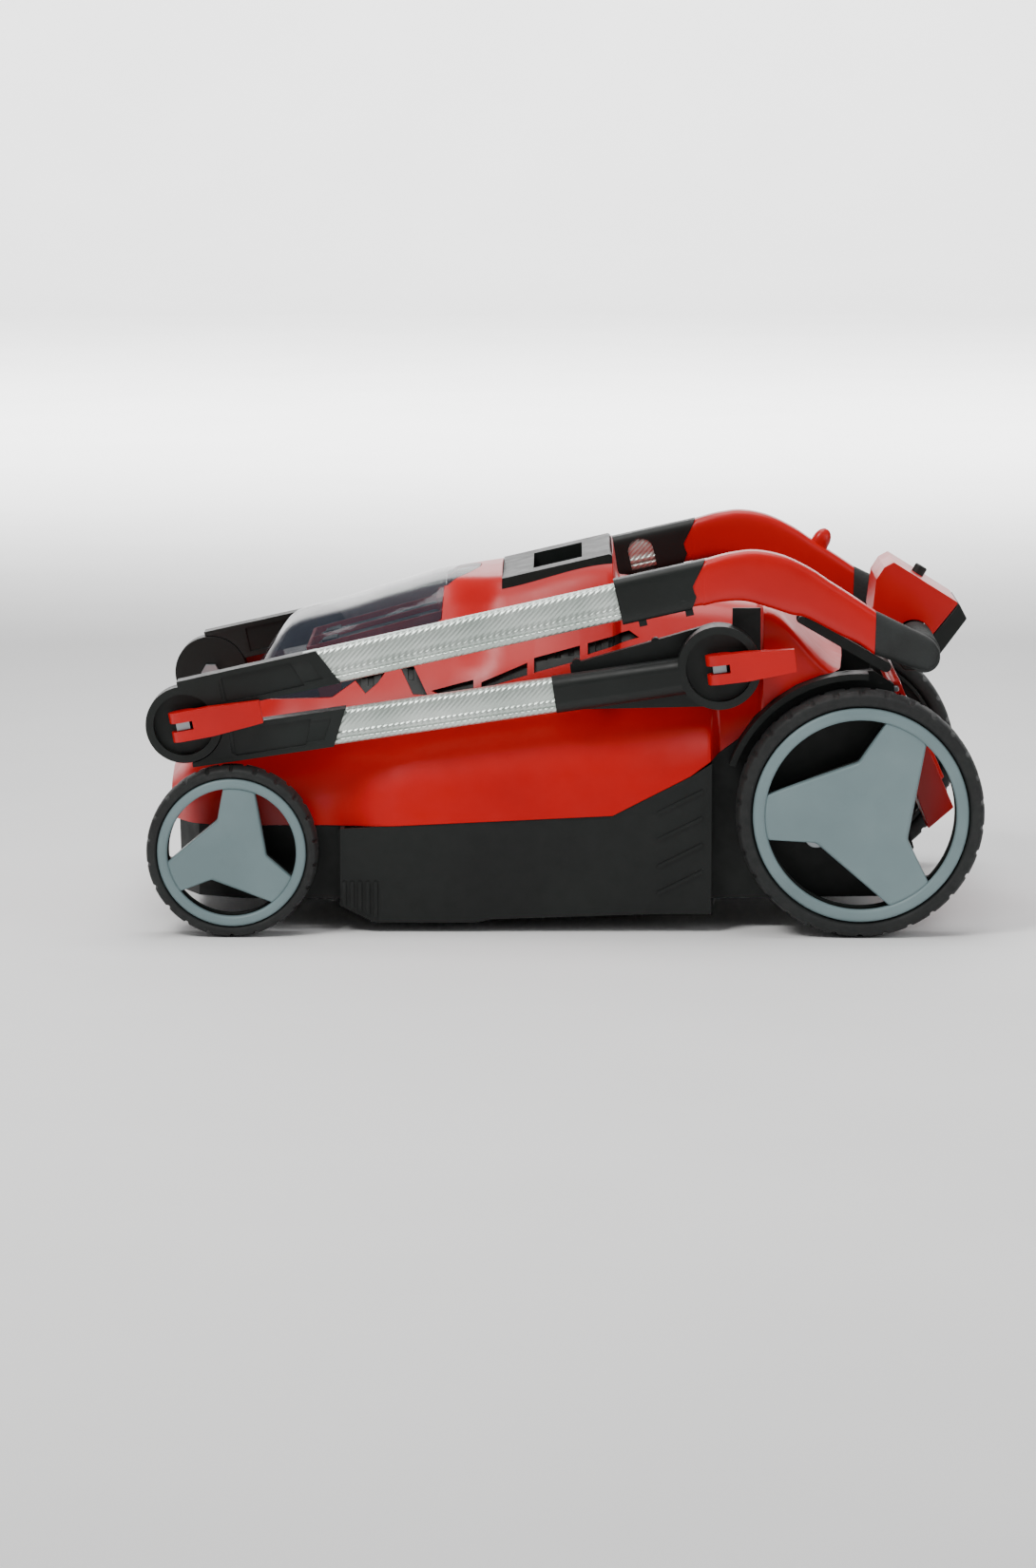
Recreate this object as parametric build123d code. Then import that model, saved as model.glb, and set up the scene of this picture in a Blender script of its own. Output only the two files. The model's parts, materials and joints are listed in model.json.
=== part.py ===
from build123d import *
from math import asin, atan2, cos, degrees, hypot, pi, radians, sin, tan
import os

# A cordless push lawn mower, stored with its two-piece handle folded flat over the deck.
# Millimetres. +Z is up and the wheels stand on Z = 0. The front of the mower points to -X.
# The origin is under the middle of the folded mower: halfway along it and on its centre plane.

# ---------------------------------------------------------------- driving sizes
overall_width = 430.0           # over the outer faces of the wheels
wheelbase = 556.0
front_wheel_r = 76.0
rear_wheel_r = 110.0
front_tyre_width = 38.0
rear_tyre_width = 45.0
front_tyre_height = 10.0        # rubber, from the rim to the tread
rear_tyre_height = 14.5
blade_length = 330.0            # the cutting width
blade_tip_gap = 3.0             # between the blade's circle and the scroll wall
blade_z = 27.0
deck_clearance = 12.0           # from the ground to the deck's lower edge
wall = 3.0                      # moulded walls
deck_wall = 3.5

# Handle: a lower half on the rear pivot and an upper half on the knee
rear_pivot_back = 125.0         # rear pivot, in front of the rear axle
rear_pivot_rise = 19.0          # rear pivot, above the top of the rear wheels
knee_front = 42.0               # knee, in front of the front axle
knee_rise = 36.0                # knee, above the top of the front wheels
knee_r = 34.0
rear_hub_r = 37.0
tube_width = 20.0
lower_tube_height = 31.0
upper_tube_height = 33.0
tube_wall = 1.6
knee_offset = 22.5              # tube centre line to knee centre, on both halves
rear_offset = 3.2               # lower tube centre line under the rear pivot
upper_slope = 12.6              # degrees, upper tube when folded
fold_angle = 140.0              # degrees, travel of the lower half from folded to in use
extend_travel = 60.0            # the handlebar pulls out of the upper tubes by this much
head_back = 215.0               # start of the handlebar coupling, in front of the rear axle

# Cutting height: both axles are cranked and turn together
crank_arm = 45.0
crank_angle = 34.0              # degrees above level when lowest, and below it when highest
axle_r = 6.0
link_arm = 66.0
link_arm_lean = 0.0             # degrees in front of upright when lowest

# Clearances
running_gap = 0.05              # radial, shafts in their bores
side_gap = 0.5                  # between parts that slide or turn face to face
shell_gap = 0.5                 # between covers that meet edge to edge
fit_gap = 0.2                   # between fixed parts that slide together once

# Fasteners and pins
pivot_bolt_r = 5.0
hinge_rod_r = 2.5
clamp_pin_r = 2.5
link_pin_r = 3.0

# ---------------------------------------------------------------- places worked out from the sizes
front_axle_x = (front_wheel_r - rear_wheel_r - wheelbase) / 2
rear_axle_x = front_axle_x + wheelbase
front_axle_z = front_wheel_r
rear_axle_z = rear_wheel_r
wheel_face = overall_width / 2
rear_tyre_inner = wheel_face - rear_tyre_width
crank_thickness = 4.0
crank_inner = rear_tyre_inner - 1.0 - crank_thickness
body_half = crank_inner - 1.0                   # deck and fenders beside the wheels
skirt_half = body_half + 22.0                   # deck between the wheels
mount_outer = body_half + 10.5
bracket_inner = mount_outer + side_gap
bracket_width = 24.0
bracket_outer = bracket_inner + bracket_width
tube_y = (bracket_inner + bracket_outer) / 2
knee_split = bracket_inner + 8.0
hub_recess = 9.5                                # depth of the dished hub faces

rear_pivot = (rear_axle_x - rear_pivot_back, 2 * rear_wheel_r + rear_pivot_rise)
knee = (front_axle_x - knee_front, 2 * front_wheel_r + knee_rise)
pivot_distance = hypot(rear_pivot[0] - knee[0], rear_pivot[1] - knee[1])
pivot_slope = degrees(atan2(rear_pivot[1] - knee[1], rear_pivot[0] - knee[0]))
lower_slope = pivot_slope + degrees(asin((knee_offset - rear_offset) / pivot_distance))
lower_run = pivot_distance * cos(radians(lower_slope - pivot_slope))

front_crank = (front_axle_x - crank_arm * cos(radians(crank_angle)),
               front_axle_z - crank_arm * sin(radians(crank_angle)))
rear_crank = (rear_axle_x - crank_arm * cos(radians(crank_angle)),
              rear_axle_z - crank_arm * sin(radians(crank_angle)))

blade_x = -35.0
blade_r = blade_length / 2
scroll_r = blade_r + blade_tip_gap
skirt_front = blade_x - blade_r
skirt_rear = blade_x + blade_r
roof_z = 68.0
roof_thickness = 4.0

head_x = rear_axle_x - head_back
upper_run = ((head_x - knee[0]) + knee_offset * sin(radians(upper_slope))) / cos(radians(upper_slope))


# ---------------------------------------------------------------- small helpers
def slab(points, y0, y1):
    """A solid with an outline of (x, z) points, from y0 to y1."""
    plane = Plane(origin=(0, y1, 0), x_dir=(1, 0, 0), z_dir=(0, -1, 0))
    outline = plane * make_face(Polyline(*points, close=True))
    return extrude(outline, y1 - y0, dir=(0, -1, 0))


def soft_slab(points, y0, y1, radius):
    """A slab with its upright corners rounded."""
    body = slab(points, y0, y1)
    return fillet(body.edges().filter_by(Axis.Y), radius)


def centre_slab(points, half):
    """A slab across the centre plane."""
    return slab(points, -half, half)


def block(x0, x1, y0, y1, z0, z1):
    """A box between two corners."""
    return Pos((x0 + x1) / 2, (y0 + y1) / 2, (z0 + z1) / 2) * Box(x1 - x0, y1 - y0, z1 - z0)


def rod(centre, radius, y0, y1):
    """A round bar across the mower, centred on an (x, z) point."""
    return Pos(centre[0], (y0 + y1) / 2, centre[1]) * Rot(90, 0, 0) * Cylinder(radius, abs(y1 - y0))


def along(origin, slope, u, v):
    """The (x, z) point u along and v above a line that leaves origin at a slope in degrees."""
    a = radians(slope)
    return (origin[0] + u * cos(a) - v * sin(a), origin[1] + u * sin(a) + v * cos(a))


def oval_bar(start, slope, length, width, height, y):
    """A bar of rounded oblong section that leaves an (x, z) point at a slope."""
    a = radians(slope)
    plane = Plane(origin=(start[0], y, start[1]), x_dir=(0, 1, 0), z_dir=(cos(a), 0, sin(a)))
    section = RectangleRounded(width, height, width * 0.42)
    return extrude(plane * section, length)


def capsule(p, q, radius, y0, y1):
    """A flat link with round ends, between two (x, z) points."""
    slope = degrees(atan2(q[1] - p[1], q[0] - p[0]))
    length = hypot(q[0] - p[0], q[1] - p[1])
    corners = [along(p, slope, u, v) for u, v in
               [(0, -radius), (length, -radius), (length, radius), (0, radius)]]
    return slab(corners, y0, y1) + rod(p, radius, y0, y1) + rod(q, radius, y0, y1)


def save(name, shape):
    """Write one node."""
    export_step(shape, "parts/" + name + ".step")


def save_pair(name, right):
    """Write a part of the right side, and its mirror image for the left side."""
    save(name + "_right", right)
    save(name + "_left", mirror(right, about=Plane.XZ))


# ---------------------------------------------------------------- the outer form of the hood
nose_x = front_axle_x - 60.0
lid_rear = blade_x - 72.0                # rear edge of the battery lid
grip_front = lid_rear + 50.0             # front of the carry handle
grip_rear = grip_front + 99.0
pod_front = rear_pivot[0] + 40.0         # fenders begin behind the handle hubs
hood_rear = rear_axle_x + 31.0
skirt_bottom = 84.0
hood_wall_half = body_half - 12.0        # upper side walls, inside the handle mounts
flare_half = skirt_half + 2.0


def hood_station(x, half, low, shoulder, waist, edge, crown, inset):
    """One cross-section of the hood: half width and height of the foot, shoulder, waist and top edge."""
    plane = Plane(origin=(x, 0, 0), x_dir=(0, 1, 0), z_dir=(1, 0, 0))
    side = [(half - inset, low), (shoulder[0] - inset, shoulder[1]), (waist[0] - inset, waist[1] - inset),
            (edge[0] - inset * 0.5, edge[1] - inset)]
    right = side + [(0, crown - inset)]
    left = [(-y, z) for y, z in reversed(side)]
    return plane * make_face(Polyline(*(right + left), close=True))


def hood_form(inset):
    """The closed outer form of the hood, or the same form drawn in by a wall."""
    low = skirt_bottom - inset
    wide = flare_half
    top = hood_wall_half
    narrow = body_half
    stations = [
        (nose_x + inset, 108, low, (108, 112), (100, 124), (66, 134), 136),
        (nose_x + 25, 150, low, (150, 118), (138, 148), (78, 172), 175),
        (nose_x + 65, narrow, low, (narrow, 128), (140, 172), (66, 206), 209),
        (nose_x + 108, narrow, low, (narrow, 128), (140, 180), (62, 262), 264),
        (skirt_front - 5, narrow, low, (narrow, 130), (top - 6, 186), (62, 274), 276),
        (skirt_front + 5, wide, low + 8, (wide - 15, 135), (top - 4, 188), (62, 277), 279),
        (lid_rear, wide, low + 10, (wide - 9, 138), (top, 200), (62, 302), 306),
        (grip_front, wide, low + 14, (wide - 8, 142), (top, 206), (92, 307), 313),
        (grip_rear, wide, low + 20, (wide - 8, 150), (top, 212), (95, 329), 333),
        (grip_rear + 8, wide, low + 22, (wide - 8, 150), (top, 212), (97, 292), 296),
        (skirt_rear - 2, wide, low + 45, (wide - 6, 160), (top, 214), (100, 288), 293),
        (skirt_rear + 8, narrow, low + 45, (narrow, 170), (top, 216), (101, 287), 292),
        (pod_front - 4, narrow, low + 60, (narrow, 185), (top, 222), (106, 284), 290),
        (pod_front, narrow, low + 60, (narrow, 200), (narrow, 284), (146, 288), 293),
        (pod_front + 64, narrow, low + 80, (narrow, 205), (narrow, 229), (146, 234), 238),
        (hood_rear - inset, narrow, low + 80, (narrow, 200), (narrow, 214), (146, 220), 222),
    ]
    faces = [hood_station(*station, inset) for station in stations]
    return loft(faces, ruled=True)


def parting_line():
    """Where the red hood meets the black deck, seen from the side, as (x, z) points."""
    arch = rear_wheel_r + 13.0
    start, end = radians(150), radians(84)
    sweep = [start + (end - start) * i / 6 for i in range(7)]
    over_wheel = [(rear_axle_x + arch * cos(t), rear_axle_z + arch * sin(t)) for t in sweep]
    along_skirt = [(nose_x - 30, 92), (skirt_front, 93), (skirt_rear - 88, 105), (skirt_rear - 19, 140)]
    return along_skirt + over_wheel


def above_parting(gap):
    """Everything above the parting line."""
    line = [(x, z + gap) for x, z in parting_line()]
    end = (hood_rear + 30, line[-1][1] - 12)
    region = centre_slab(line + [end, (end[0], 400), (line[0][0], 400)], flare_half + 20)
    inside = body_half - deck_wall - shell_gap
    ears = flap_half + 9.7
    region += block(hood_rear - 70, hood_rear - 4.5, -inside, inside, 190, 400)
    return region + block(hood_rear - 60, hood_rear + 20, -ears, ears, 190, 400)


# ---------------------------------------------------------------- battery lid
lid_front = nose_x + 62.0
lid_hinge = (lid_front + 3.0, 209.0)
lid_wall = 2.5
knuckle_r = 5.0
lid_bulge = 30.0                          # how far the middle of the rear edge bows backwards
lid_half = 62.0
lid_low = 199.0                           # underside of the lid at its front edge


def lid_zone(gap):
    """The part of the hood's form that the battery lid takes up, less a gap all round."""
    side = [(lid_front + gap, lid_low + gap), (lid_front + 84, 204 + gap), (lid_rear - 5 - gap, 270 + gap),
            (lid_rear - gap, 340), (lid_front + gap, 340)]
    zone = centre_slab(side, flare_half + 10)
    bow_r = (lid_half ** 2 + lid_bulge ** 2) / (2 * lid_bulge)
    bow = Pos(lid_rear + lid_bulge - bow_r, 0, 320) * Cylinder(bow_r - gap, 70)
    keep = block(lid_rear - 20, lid_rear + lid_bulge, -lid_half + gap, lid_half - gap, 285, 340)
    return zone + (bow & keep)


def battery_lid():
    """Clear smoked lid over the batteries, hinged along its front edge."""
    shell = (hood_form(0) - hood_form(lid_wall)) & lid_zone(0)
    shell -= rod(lid_hinge, knuckle_r + shell_gap, -32.5, 32.5)
    shell -= block(lid_front - 5, lid_hinge[0], -32.5, 32.5, lid_hinge[1] - 20, lid_hinge[1])
    for y in (-45, 45):
        shell += rod(lid_hinge, knuckle_r, y - 12, y + 12)
    return shell - rod(lid_hinge, hinge_rod_r + running_gap, -60, 60)


def lid_heel():
    """Room for the lid's front edge as it swings under the hinge."""
    reach = hypot(lid_hinge[0] - lid_front, lid_hinge[1] - lid_low) + shell_gap
    below = block(lid_front - shell_gap, lid_hinge[0] + reach, -flare_half, flare_half,
                  lid_hinge[1] - reach - 1, lid_hinge[1])
    return rod(lid_hinge, reach, -flare_half, flare_half) & below


# ---------------------------------------------------------------- hood
# outlines of the side slots, from the blade's axis
vent_slots = [
    [(7, 240), (48, 251), (48, 238), (7, 227)],
    [(55, 253), (92, 263), (101, 257), (55, 243)],
    [(-40, 219), (1, 236), (1, 225), (-40, 213)],
    [(-85, 211), (-47, 221), (-47, 212), (-73, 206)],
    [(-114, 231), (-101, 231), (-88, 207), (-101, 207)],
    [(-155, 219), (-125, 227), (-133, 216), (-144, 207)],
]


def carry_block(gap):
    """The outline of the carry handle's frame, let into the top of the hood."""
    front, rear = grip_front - gap, grip_rear + gap
    return [(front, 290 - gap), (rear, 313 - gap), (rear, 345), (front, 345)]


def tray_block(gap):
    """The outline of the finger well under the carry handle."""
    return [(grip_front + 24 - gap, 262 - gap), (grip_rear - 4 + gap, 268 - gap),
            (grip_rear - 4 + gap, 325), (grip_front + 24 - gap, 325)]


grip_half = 95.0
tray_half = 68.0


def hood():
    """Red top cover: one shell from the nose to the rear fenders."""
    ledge = centre_slab([(grip_front - 4, 285), (grip_rear + 4, 308), (grip_rear + 4, 311.7),
                         (grip_front - 4, 288.7)], grip_half + 3) & hood_form(1)
    shell = hood_form(0) - hood_form(wall) + ledge
    shell = shell & above_parting(shell_gap)
    shell -= lid_zone(-shell_gap) + lid_heel()
    shell -= centre_slab(carry_block(fit_gap), grip_half + fit_gap)
    shell -= centre_slab(tray_block(fit_gap), tray_half + fit_gap)
    for outline in vent_slots:
        points = [(blade_x + x, z) for x, z in outline]
        shell -= slab(points, 60, skirt_half + 20)
        shell -= slab(points, -skirt_half - 20, -60)
    for side in (-1, 1):
        for x, z, r in mount_bosses:
            shell -= rod((x, z), r + fit_gap, side * 100, side * (body_half + 6))
        inner, outer = flap_half + 1.5, flap_half + 9.5
        ear = soft_slab([(flap_hinge[0] - 22, flap_hinge[1] + 3), (flap_hinge[0] - 22, flap_hinge[1] - 9),
                         (flap_hinge[0] + 3, flap_hinge[1] - 7), (flap_hinge[0] + 7, flap_hinge[1]),
                         (flap_hinge[0] + 3, flap_hinge[1] + 6)], inner, outer, 2)
        if side < 0:
            ear = mirror(ear, about=Plane.XZ)
        shell += ear
        shell -= rod(flap_hinge, hinge_rod_r + fit_gap, side * (inner - 1), side * (outer + 1))
    shell -= block(hood_rear - 8, hood_rear + 10, -flap_half - 1, flap_half + 1, 150, 216)
    shell -= rod(flap_hinge, 7.5, -flap_half - 1, flap_half + 1)
    shell -= rod(lid_hinge, knuckle_r + shell_gap, -57.5, 57.5)
    for y in (-20, 20):
        knuckle = rod(lid_hinge, knuckle_r, y - 12, y + 12)
        foot = block(lid_hinge[0] - 12, lid_hinge[0] - 1, y - 12, y + 12,
                     lid_hinge[1] - 12, lid_hinge[1] - 2)
        shell += knuckle + (foot & hood_form(0.5))
    return shell - rod(lid_hinge, hinge_rod_r + running_gap, -60, 60)


def vent_grilles():
    """Black louvred panels behind the hood's side slots, one each side."""
    panel = hood_form(wall + 0.4) - hood_form(wall + 2.4)
    region = [(lid_front + 92, 203), (lid_rear + 45, 205), (lid_rear + 185, 232), (lid_rear + 185, 264),
              (lid_rear + 75, 258), (lid_rear - 15, 236), (lid_front + 92, 224)]
    right = panel & slab(region, 60, skirt_half)
    pitch = 12.0
    for i in range(20):
        x = lid_front + 104 + i * pitch
        rise = 0.16 * (x - lid_front - 92)
        groove = block(x, x + 5, 60, skirt_half, 209 + rise, 219 + rise)
        right -= groove - hood_form(wall + 1.4)
    for x, z, r in mount_bosses:
        right -= rod((x, z), r + 1, 60, skirt_half)
    return Compound(children=[right, mirror(right, about=Plane.XZ)])


# ---------------------------------------------------------------- deck
def deck():
    """Black lower body: skirt, blade scroll and wheel housings, open underneath."""
    low = deck_clearance
    line = parting_line()
    tail = [(line[-1][0] + 18, line[-1][1] - 12), (hood_rear + 6, 120), (hood_rear + 19, 74),
            (hood_rear + 5, 30)]
    narrow = [(nose_x + 9, 27), (nose_x + 7, 92)] + line[1:] + tail + [(skirt_rear, 28)]
    rise = (line[4][1] - line[3][1]) / (line[4][0] - line[3][0])
    corner = line[3][1] + rise * (skirt_rear - line[3][0]) - 1.8
    wide = [(skirt_front, low + 12), (skirt_front, 93), (skirt_rear - 88, 105), (skirt_rear - 19, 140),
            (skirt_rear, corner), (skirt_rear, low + 5), (skirt_rear - 50, low + 5), (skirt_front + 135, low),
            (skirt_front + 120, low - 3), (skirt_front + 30, low - 3)]
    outer = centre_slab(narrow, body_half) & nose_plan(0)
    outer += centre_slab(wide, skirt_half)
    t = deck_wall
    inner_narrow = nose_plan(t) & block(nose_x, hood_rear - 4, -body_half, body_half, -5, roof_z)
    upper_room = nose_plan(t) & block(nose_x, hood_rear - 4, -body_half, body_half,
                                      roof_z + roof_thickness, 260)
    inner_wide = block(skirt_front + t, skirt_rear - t, -skirt_half + t, skirt_half - t, -5, roof_z)
    upper_wide = block(skirt_front + t, skirt_rear - t, -skirt_half + t, skirt_half - t,
                       roof_z + roof_thickness, 260)
    body = outer - inner_narrow - upper_room - inner_wide - upper_wide
    scroll = Pos(blade_x, 0, (low + 2 + roof_z) / 2) * (Cylinder(scroll_r + wall, roof_z - low - 2)
                                                      - Cylinder(scroll_r, roof_z - low))
    body += scroll & block(-400, 400, -skirt_half + 1, skirt_half - 1, 0, 200)
    body -= centre_slab(chute_outline(fit_gap), chute_half + wall + fit_gap)
    body -= block(skirt_rear - 30, skirt_rear + 8, -chute_half, chute_half, 32, roof_z - 2)
    body -= Pos(blade_x, 0, roof_z) * Cylinder(shaft_r + 4, 30)
    body -= block(hood_rear - 60, hood_rear + 40, -flap_half - 10, flap_half + 10, 190, 260)
    body -= block(hood_rear - 60, hood_rear + 40, -flap_half - 1, flap_half + 1, roof_z + 40, 200)
    for centre in (front_crank, rear_crank):
        body -= rod(centre, axle_r + running_gap, -skirt_half, skirt_half)
    link_lane = (link_y - 8, link_y + 5)
    body -= block(front_crank[0] - 10, front_crank[0] + 175, *link_lane, roof_z - 3, roof_z + 20)
    body -= block(rear_crank[0] - 12, rear_crank[0] + 75, *link_lane, roof_z - 3, roof_z + 20)
    body -= block(hood_rear - 6, hood_rear + 4, *link_lane, roof_z + 26, roof_z + 41)
    body = body + arch_lip(1) + arch_lip(-1) + side_ribs(1) + side_ribs(-1)
    return body - rod(lever_pivot, lever_shaft_r + running_gap, link_y, skirt_half + 3)


def nose_plan(inset):
    """A tall solid with the plan of the narrow deck: tapered at the nose."""
    right = [(nose_x + 7 + inset, 104), (nose_x + 27 + inset, 145 - inset * 0.5),
             (nose_x + 67 + inset, body_half - inset), (hood_rear + 40, body_half - inset)]
    left = [(x, -y) for x, y in reversed(right)]
    return extrude(make_face(Polyline(*(right + left), close=True)), 400)


def arch_lip(side):
    """The black lip over a rear wheel."""
    outer_r = rear_wheel_r + 12.5
    centre = (rear_axle_x, rear_axle_z)
    y0, y1 = sorted((side * (body_half - deck_wall), side * (body_half + 22)))
    ring = rod(centre, outer_r, y0, y1) - rod(centre, outer_r - 5.5, y0 - 1, y1 + 1)
    wedge = [centre, (centre[0] - 170, centre[1] + 60), (centre[0] - 170, centre[1] + 200),
             (centre[0] + 12, centre[1] + 200)]
    return ring & slab(wedge, y0, y1)


def side_ribs(side):
    """Grass-comb ribs at the skirt's front corner and the slanting ribs of the rear panel."""
    ribs = []
    for i in range(5):
        x = skirt_front + 2 + i * 7
        y0, y1 = sorted((side * (skirt_half - 1), side * (skirt_half + 1.8)))
        ribs.append(block(x, x + 3, y0, y1, deck_clearance + 12 - i * 2.5, 46))
    for i in range(4):
        x0, x1 = skirt_rear - 48, skirt_rear - 8
        z = 34 + i * 24
        y0, y1 = sorted((side * (skirt_half - 1), side * (skirt_half + 1.5)))
        ribs.append(slab([(x0, z), (x1, z + 20), (x1, z + 23), (x0, z + 3)], y0, y1))
    return ribs


# ---------------------------------------------------------------- rear chute and flap
chute_half = 88.0
flap_half = 138.0
flap_hinge = (hood_rear + 3.0, 214.0)


def chute_outline(gap):
    """Side view of the clippings duct, from the scroll up to the rear opening."""
    return [(skirt_rear + 6 - gap, 29 - gap), (skirt_rear + 10, 29 - gap), (skirt_rear + 78, 97 - gap),
            (hood_rear - 5 + gap, 97 - gap), (hood_rear - 5 + gap, 203 + gap),
            (skirt_rear + 85, 196 + gap), (skirt_rear + 6 - gap, roof_z + 4 + gap)]


def discharge_chute():
    """Black duct that carries the clippings to the rear."""
    t = wall
    inner = [(skirt_rear, 29 + t), (skirt_rear + 9, 29 + t), (skirt_rear + 77, 97 + t),
             (hood_rear + 10, 97 + t), (hood_rear + 10, 203 - t), (skirt_rear + 86, 196 - t),
             (skirt_rear + 7, roof_z + 4 - t), (skirt_rear, roof_z + 4 - t)]
    return centre_slab(chute_outline(0), chute_half + t) - centre_slab(inner, chute_half)


def rear_flap():
    """Red flap over the rear opening, on its own cheeks."""
    hx, hz = flap_hinge
    t = 3.5
    outer = [(hx - 1, hz + 5), (hx + 4, hz + 5), (hx + 53, hz - 108), (hx + 31, hz - 127),
             (hx + 28, hz - 124), (hx + 48, hz - 107), (hx + 2, hz - 1), (hx - 1, hz - 1)]
    plate = centre_slab(outer, flap_half)
    ridge = centre_slab([(hx + 24, hz - 42), (hx + 28, hz - 42), (hx + 53.5, hz - 100),
                         (hx + 49, hz - 104)], 3)
    cheek = [(hx + 6, hz - 6), (hx + 50, hz - 107), (hx + 30, hz - 124), (hx + 17, hz - 90)]
    body = plate + ridge
    for side in (-1, 1):
        y0, y1 = sorted((side * (flap_half - t), side * flap_half))
        body += slab(cheek, y0, y1)
    body += rod(flap_hinge, 6, -flap_half, flap_half)
    return body - rod(flap_hinge, hinge_rod_r + running_gap, -flap_half - 1, flap_half + 1)


def hinge_rods():
    """Steel hinge rods of the rear flap and of the battery lid."""
    flap_rod = rod(flap_hinge, hinge_rod_r, -flap_half - 9, flap_half + 9)
    lid_rod = rod(lid_hinge, hinge_rod_r, -57, 57)
    return Compound(children=[flap_rod, lid_rod])


# ---------------------------------------------------------------- batteries and drive
bay_slope = 15.4
bay_half = 75.0
pack_size = (116.0, 66.0, 60.0)


def bay_place(x, y, drop):
    """A place in the battery bay, in a frame that slopes with the lid."""
    z = 302 + (x - lid_rear) * tan(radians(bay_slope))
    return Pos(x, y, z) * Rot(0, -bay_slope, 0) * Pos(0, 0, -drop)


def battery_bay():
    """Red tub that holds the two batteries under the lid."""
    length, height = 128.0, 76.0
    x = lid_rear - 72
    tub = bay_place(x, 0, 24 + height / 2) * Box(length, 2 * bay_half, height)
    room = bay_place(x, 0, 24 + height / 2 - 3) * Box(length - 6, 2 * bay_half - 6, height)
    fin = bay_place(x, 0, 24 + height / 2) * Box(length - 6, 3, height)
    dome = bay_place(lid_rear, 0, 22) * Box(30, 92, 14)
    keyhole = bay_place(lid_rear + 3, 0, 22) * Box(16 + 2 * fit_gap, 4 + 2 * fit_gap, 20)
    return (tub - room + fin + dome - keyhole) & hood_form(lid_wall + fit_gap)


def battery_pack(side):
    """One slide-in battery with its release button and rails."""
    length, width, height = pack_size
    x, y = lid_rear - 72, side * (width / 2 + 2.0)
    shell = bay_place(x, y, 28 + height / 2) * fillet(Box(length, width, height).edges(), 5)
    button = bay_place(x - length / 2 + 16, y, 27) * Box(14, 26, 5)
    window = bay_place(x + 22, y, 28) * Box(34, 20, 1.6)
    return shell + button - window


def safety_key():
    """Isolating key, pushed into the rear wall of the bay."""
    place = bay_place(lid_rear + 3, 0, 13.4)
    return place * (Cylinder(9, 3) + Pos(0, 0, -5) * Box(16, 4, 8) + Pos(0, 0, 2) * Box(14, 4, 4))


motor_r = 48.0
shaft_r = 6.0
motor_top = 176.0


def motor_housing():
    """Motor can on the deck's roof, with cooling fins."""
    base = roof_z + roof_thickness
    can = Pos(blade_x, 0, (base + motor_top) / 2) * Cylinder(motor_r, motor_top - base)
    can = fillet(can.edges().sort_by(Axis.Z)[-1], 6)
    for i in range(12):
        fin = Pos(blade_x, 0, (base + motor_top) / 2) * Rot(0, 0, 30 * i) * Pos(motor_r, 0, 0)
        can += fin * Box(8, 3, motor_top - base - 30)
    can += Pos(blade_x, 0, base + 3) * Cylinder(motor_r + 12, 6)
    bore = Pos(blade_x, 0, base + 20) * Cylinder(shaft_r + running_gap, 60)
    return can - bore


def control_board():
    """Electronics box in the nose."""
    x0 = nose_x + 50
    top_z = roof_z + roof_thickness + 24
    box = block(x0, x0 + 70, -60, 60, roof_z + roof_thickness, top_z)
    fins = [block(x0 + 6 + 8 * i, x0 + 9 + 8 * i, -50, 50, top_z, top_z + 6) for i in range(8)]
    return box + fins


def blade():
    """Steel cutting blade with raised wings at its tips."""
    bar = Pos(blade_x, 0, blade_z + 1.5) * Box(blade_length - 4, 46, 3)
    tips = Pos(blade_x, 0, blade_z + 1.5) * Cylinder(blade_r, 3)
    bar = bar & tips
    for turn in (0, 180):
        wing = [(blade_r - 62, blade_z + 3), (blade_r - 10, blade_z + 3), (blade_r - 14, blade_z + 15),
                (blade_r - 55, blade_z + 12)]
        bar += Pos(blade_x, 0, 0) * Rot(0, 0, turn) * slab(wing, 19, 22)
    return bar - Pos(blade_x, 0, blade_z) * Cylinder(4 + fit_gap, 20)


def blade_holder():
    """Shaft and fan-shaped blade carrier, with the clamping bolt under the blade."""
    low = blade_z + 3
    carrier = Pos(blade_x, 0, low + 5) * Cylinder(30, 10)
    for i in range(6):
        carrier += Pos(blade_x, 0, low + 14) * Rot(0, 0, 60 * i) * Pos(22, 0, 0) * Box(16, 2.5, 8)
    shaft = Pos(blade_x, 0, (low + 118) / 2) * Cylinder(shaft_r, 118 - low)
    return carrier + shaft


def blade_bolt():
    """Blade bolt with a hexagon head and a washer."""
    head = Pos(blade_x, 0, blade_z - 9) * extrude(RegularPolygon(9.5, 6), 7)
    washer = Pos(blade_x, 0, blade_z - 1) * Cylinder(14, 2)
    shank = Pos(blade_x, 0, blade_z + 1.4) * Cylinder(4, 3)
    return head + washer + shank


# ---------------------------------------------------------------- carry handle
def carry_handle():
    """Black carry handle: a frame let into the hood, a finger well and a grip bar."""
    slope = degrees(atan2(23.0, 99.0))
    frame = centre_slab([(grip_front, 290), (grip_rear, 313), (grip_rear, 330), (grip_front, 307)],
                        grip_half)
    frame = fillet(frame.edges().group_by(Axis.Z)[-1], 3)
    tray = centre_slab([(grip_front + 24, 262), (grip_rear - 4, 268), (grip_rear - 4, 314),
                        (grip_front + 24, 300)], tray_half)
    well = centre_slab([(grip_front + 28, 265), (grip_rear - 8, 271), (grip_rear - 8, 307),
                        (grip_front + 28, 340)], tray_half - 4)
    mouth = centre_slab([(grip_front + 28, 280), (grip_front + 72, 290), (grip_front + 72, 345),
                         (grip_front + 28, 345)], tray_half - 4)
    bar = [along((grip_rear - 13, 312), slope, u, v) for u, v in [(-13, -7), (7, -7), (7, 8), (-13, 8)]]
    body = frame + tray - well - mouth
    return body + soft_slab(bar, -tray_half + 3, tray_half - 3, 4)


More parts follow.
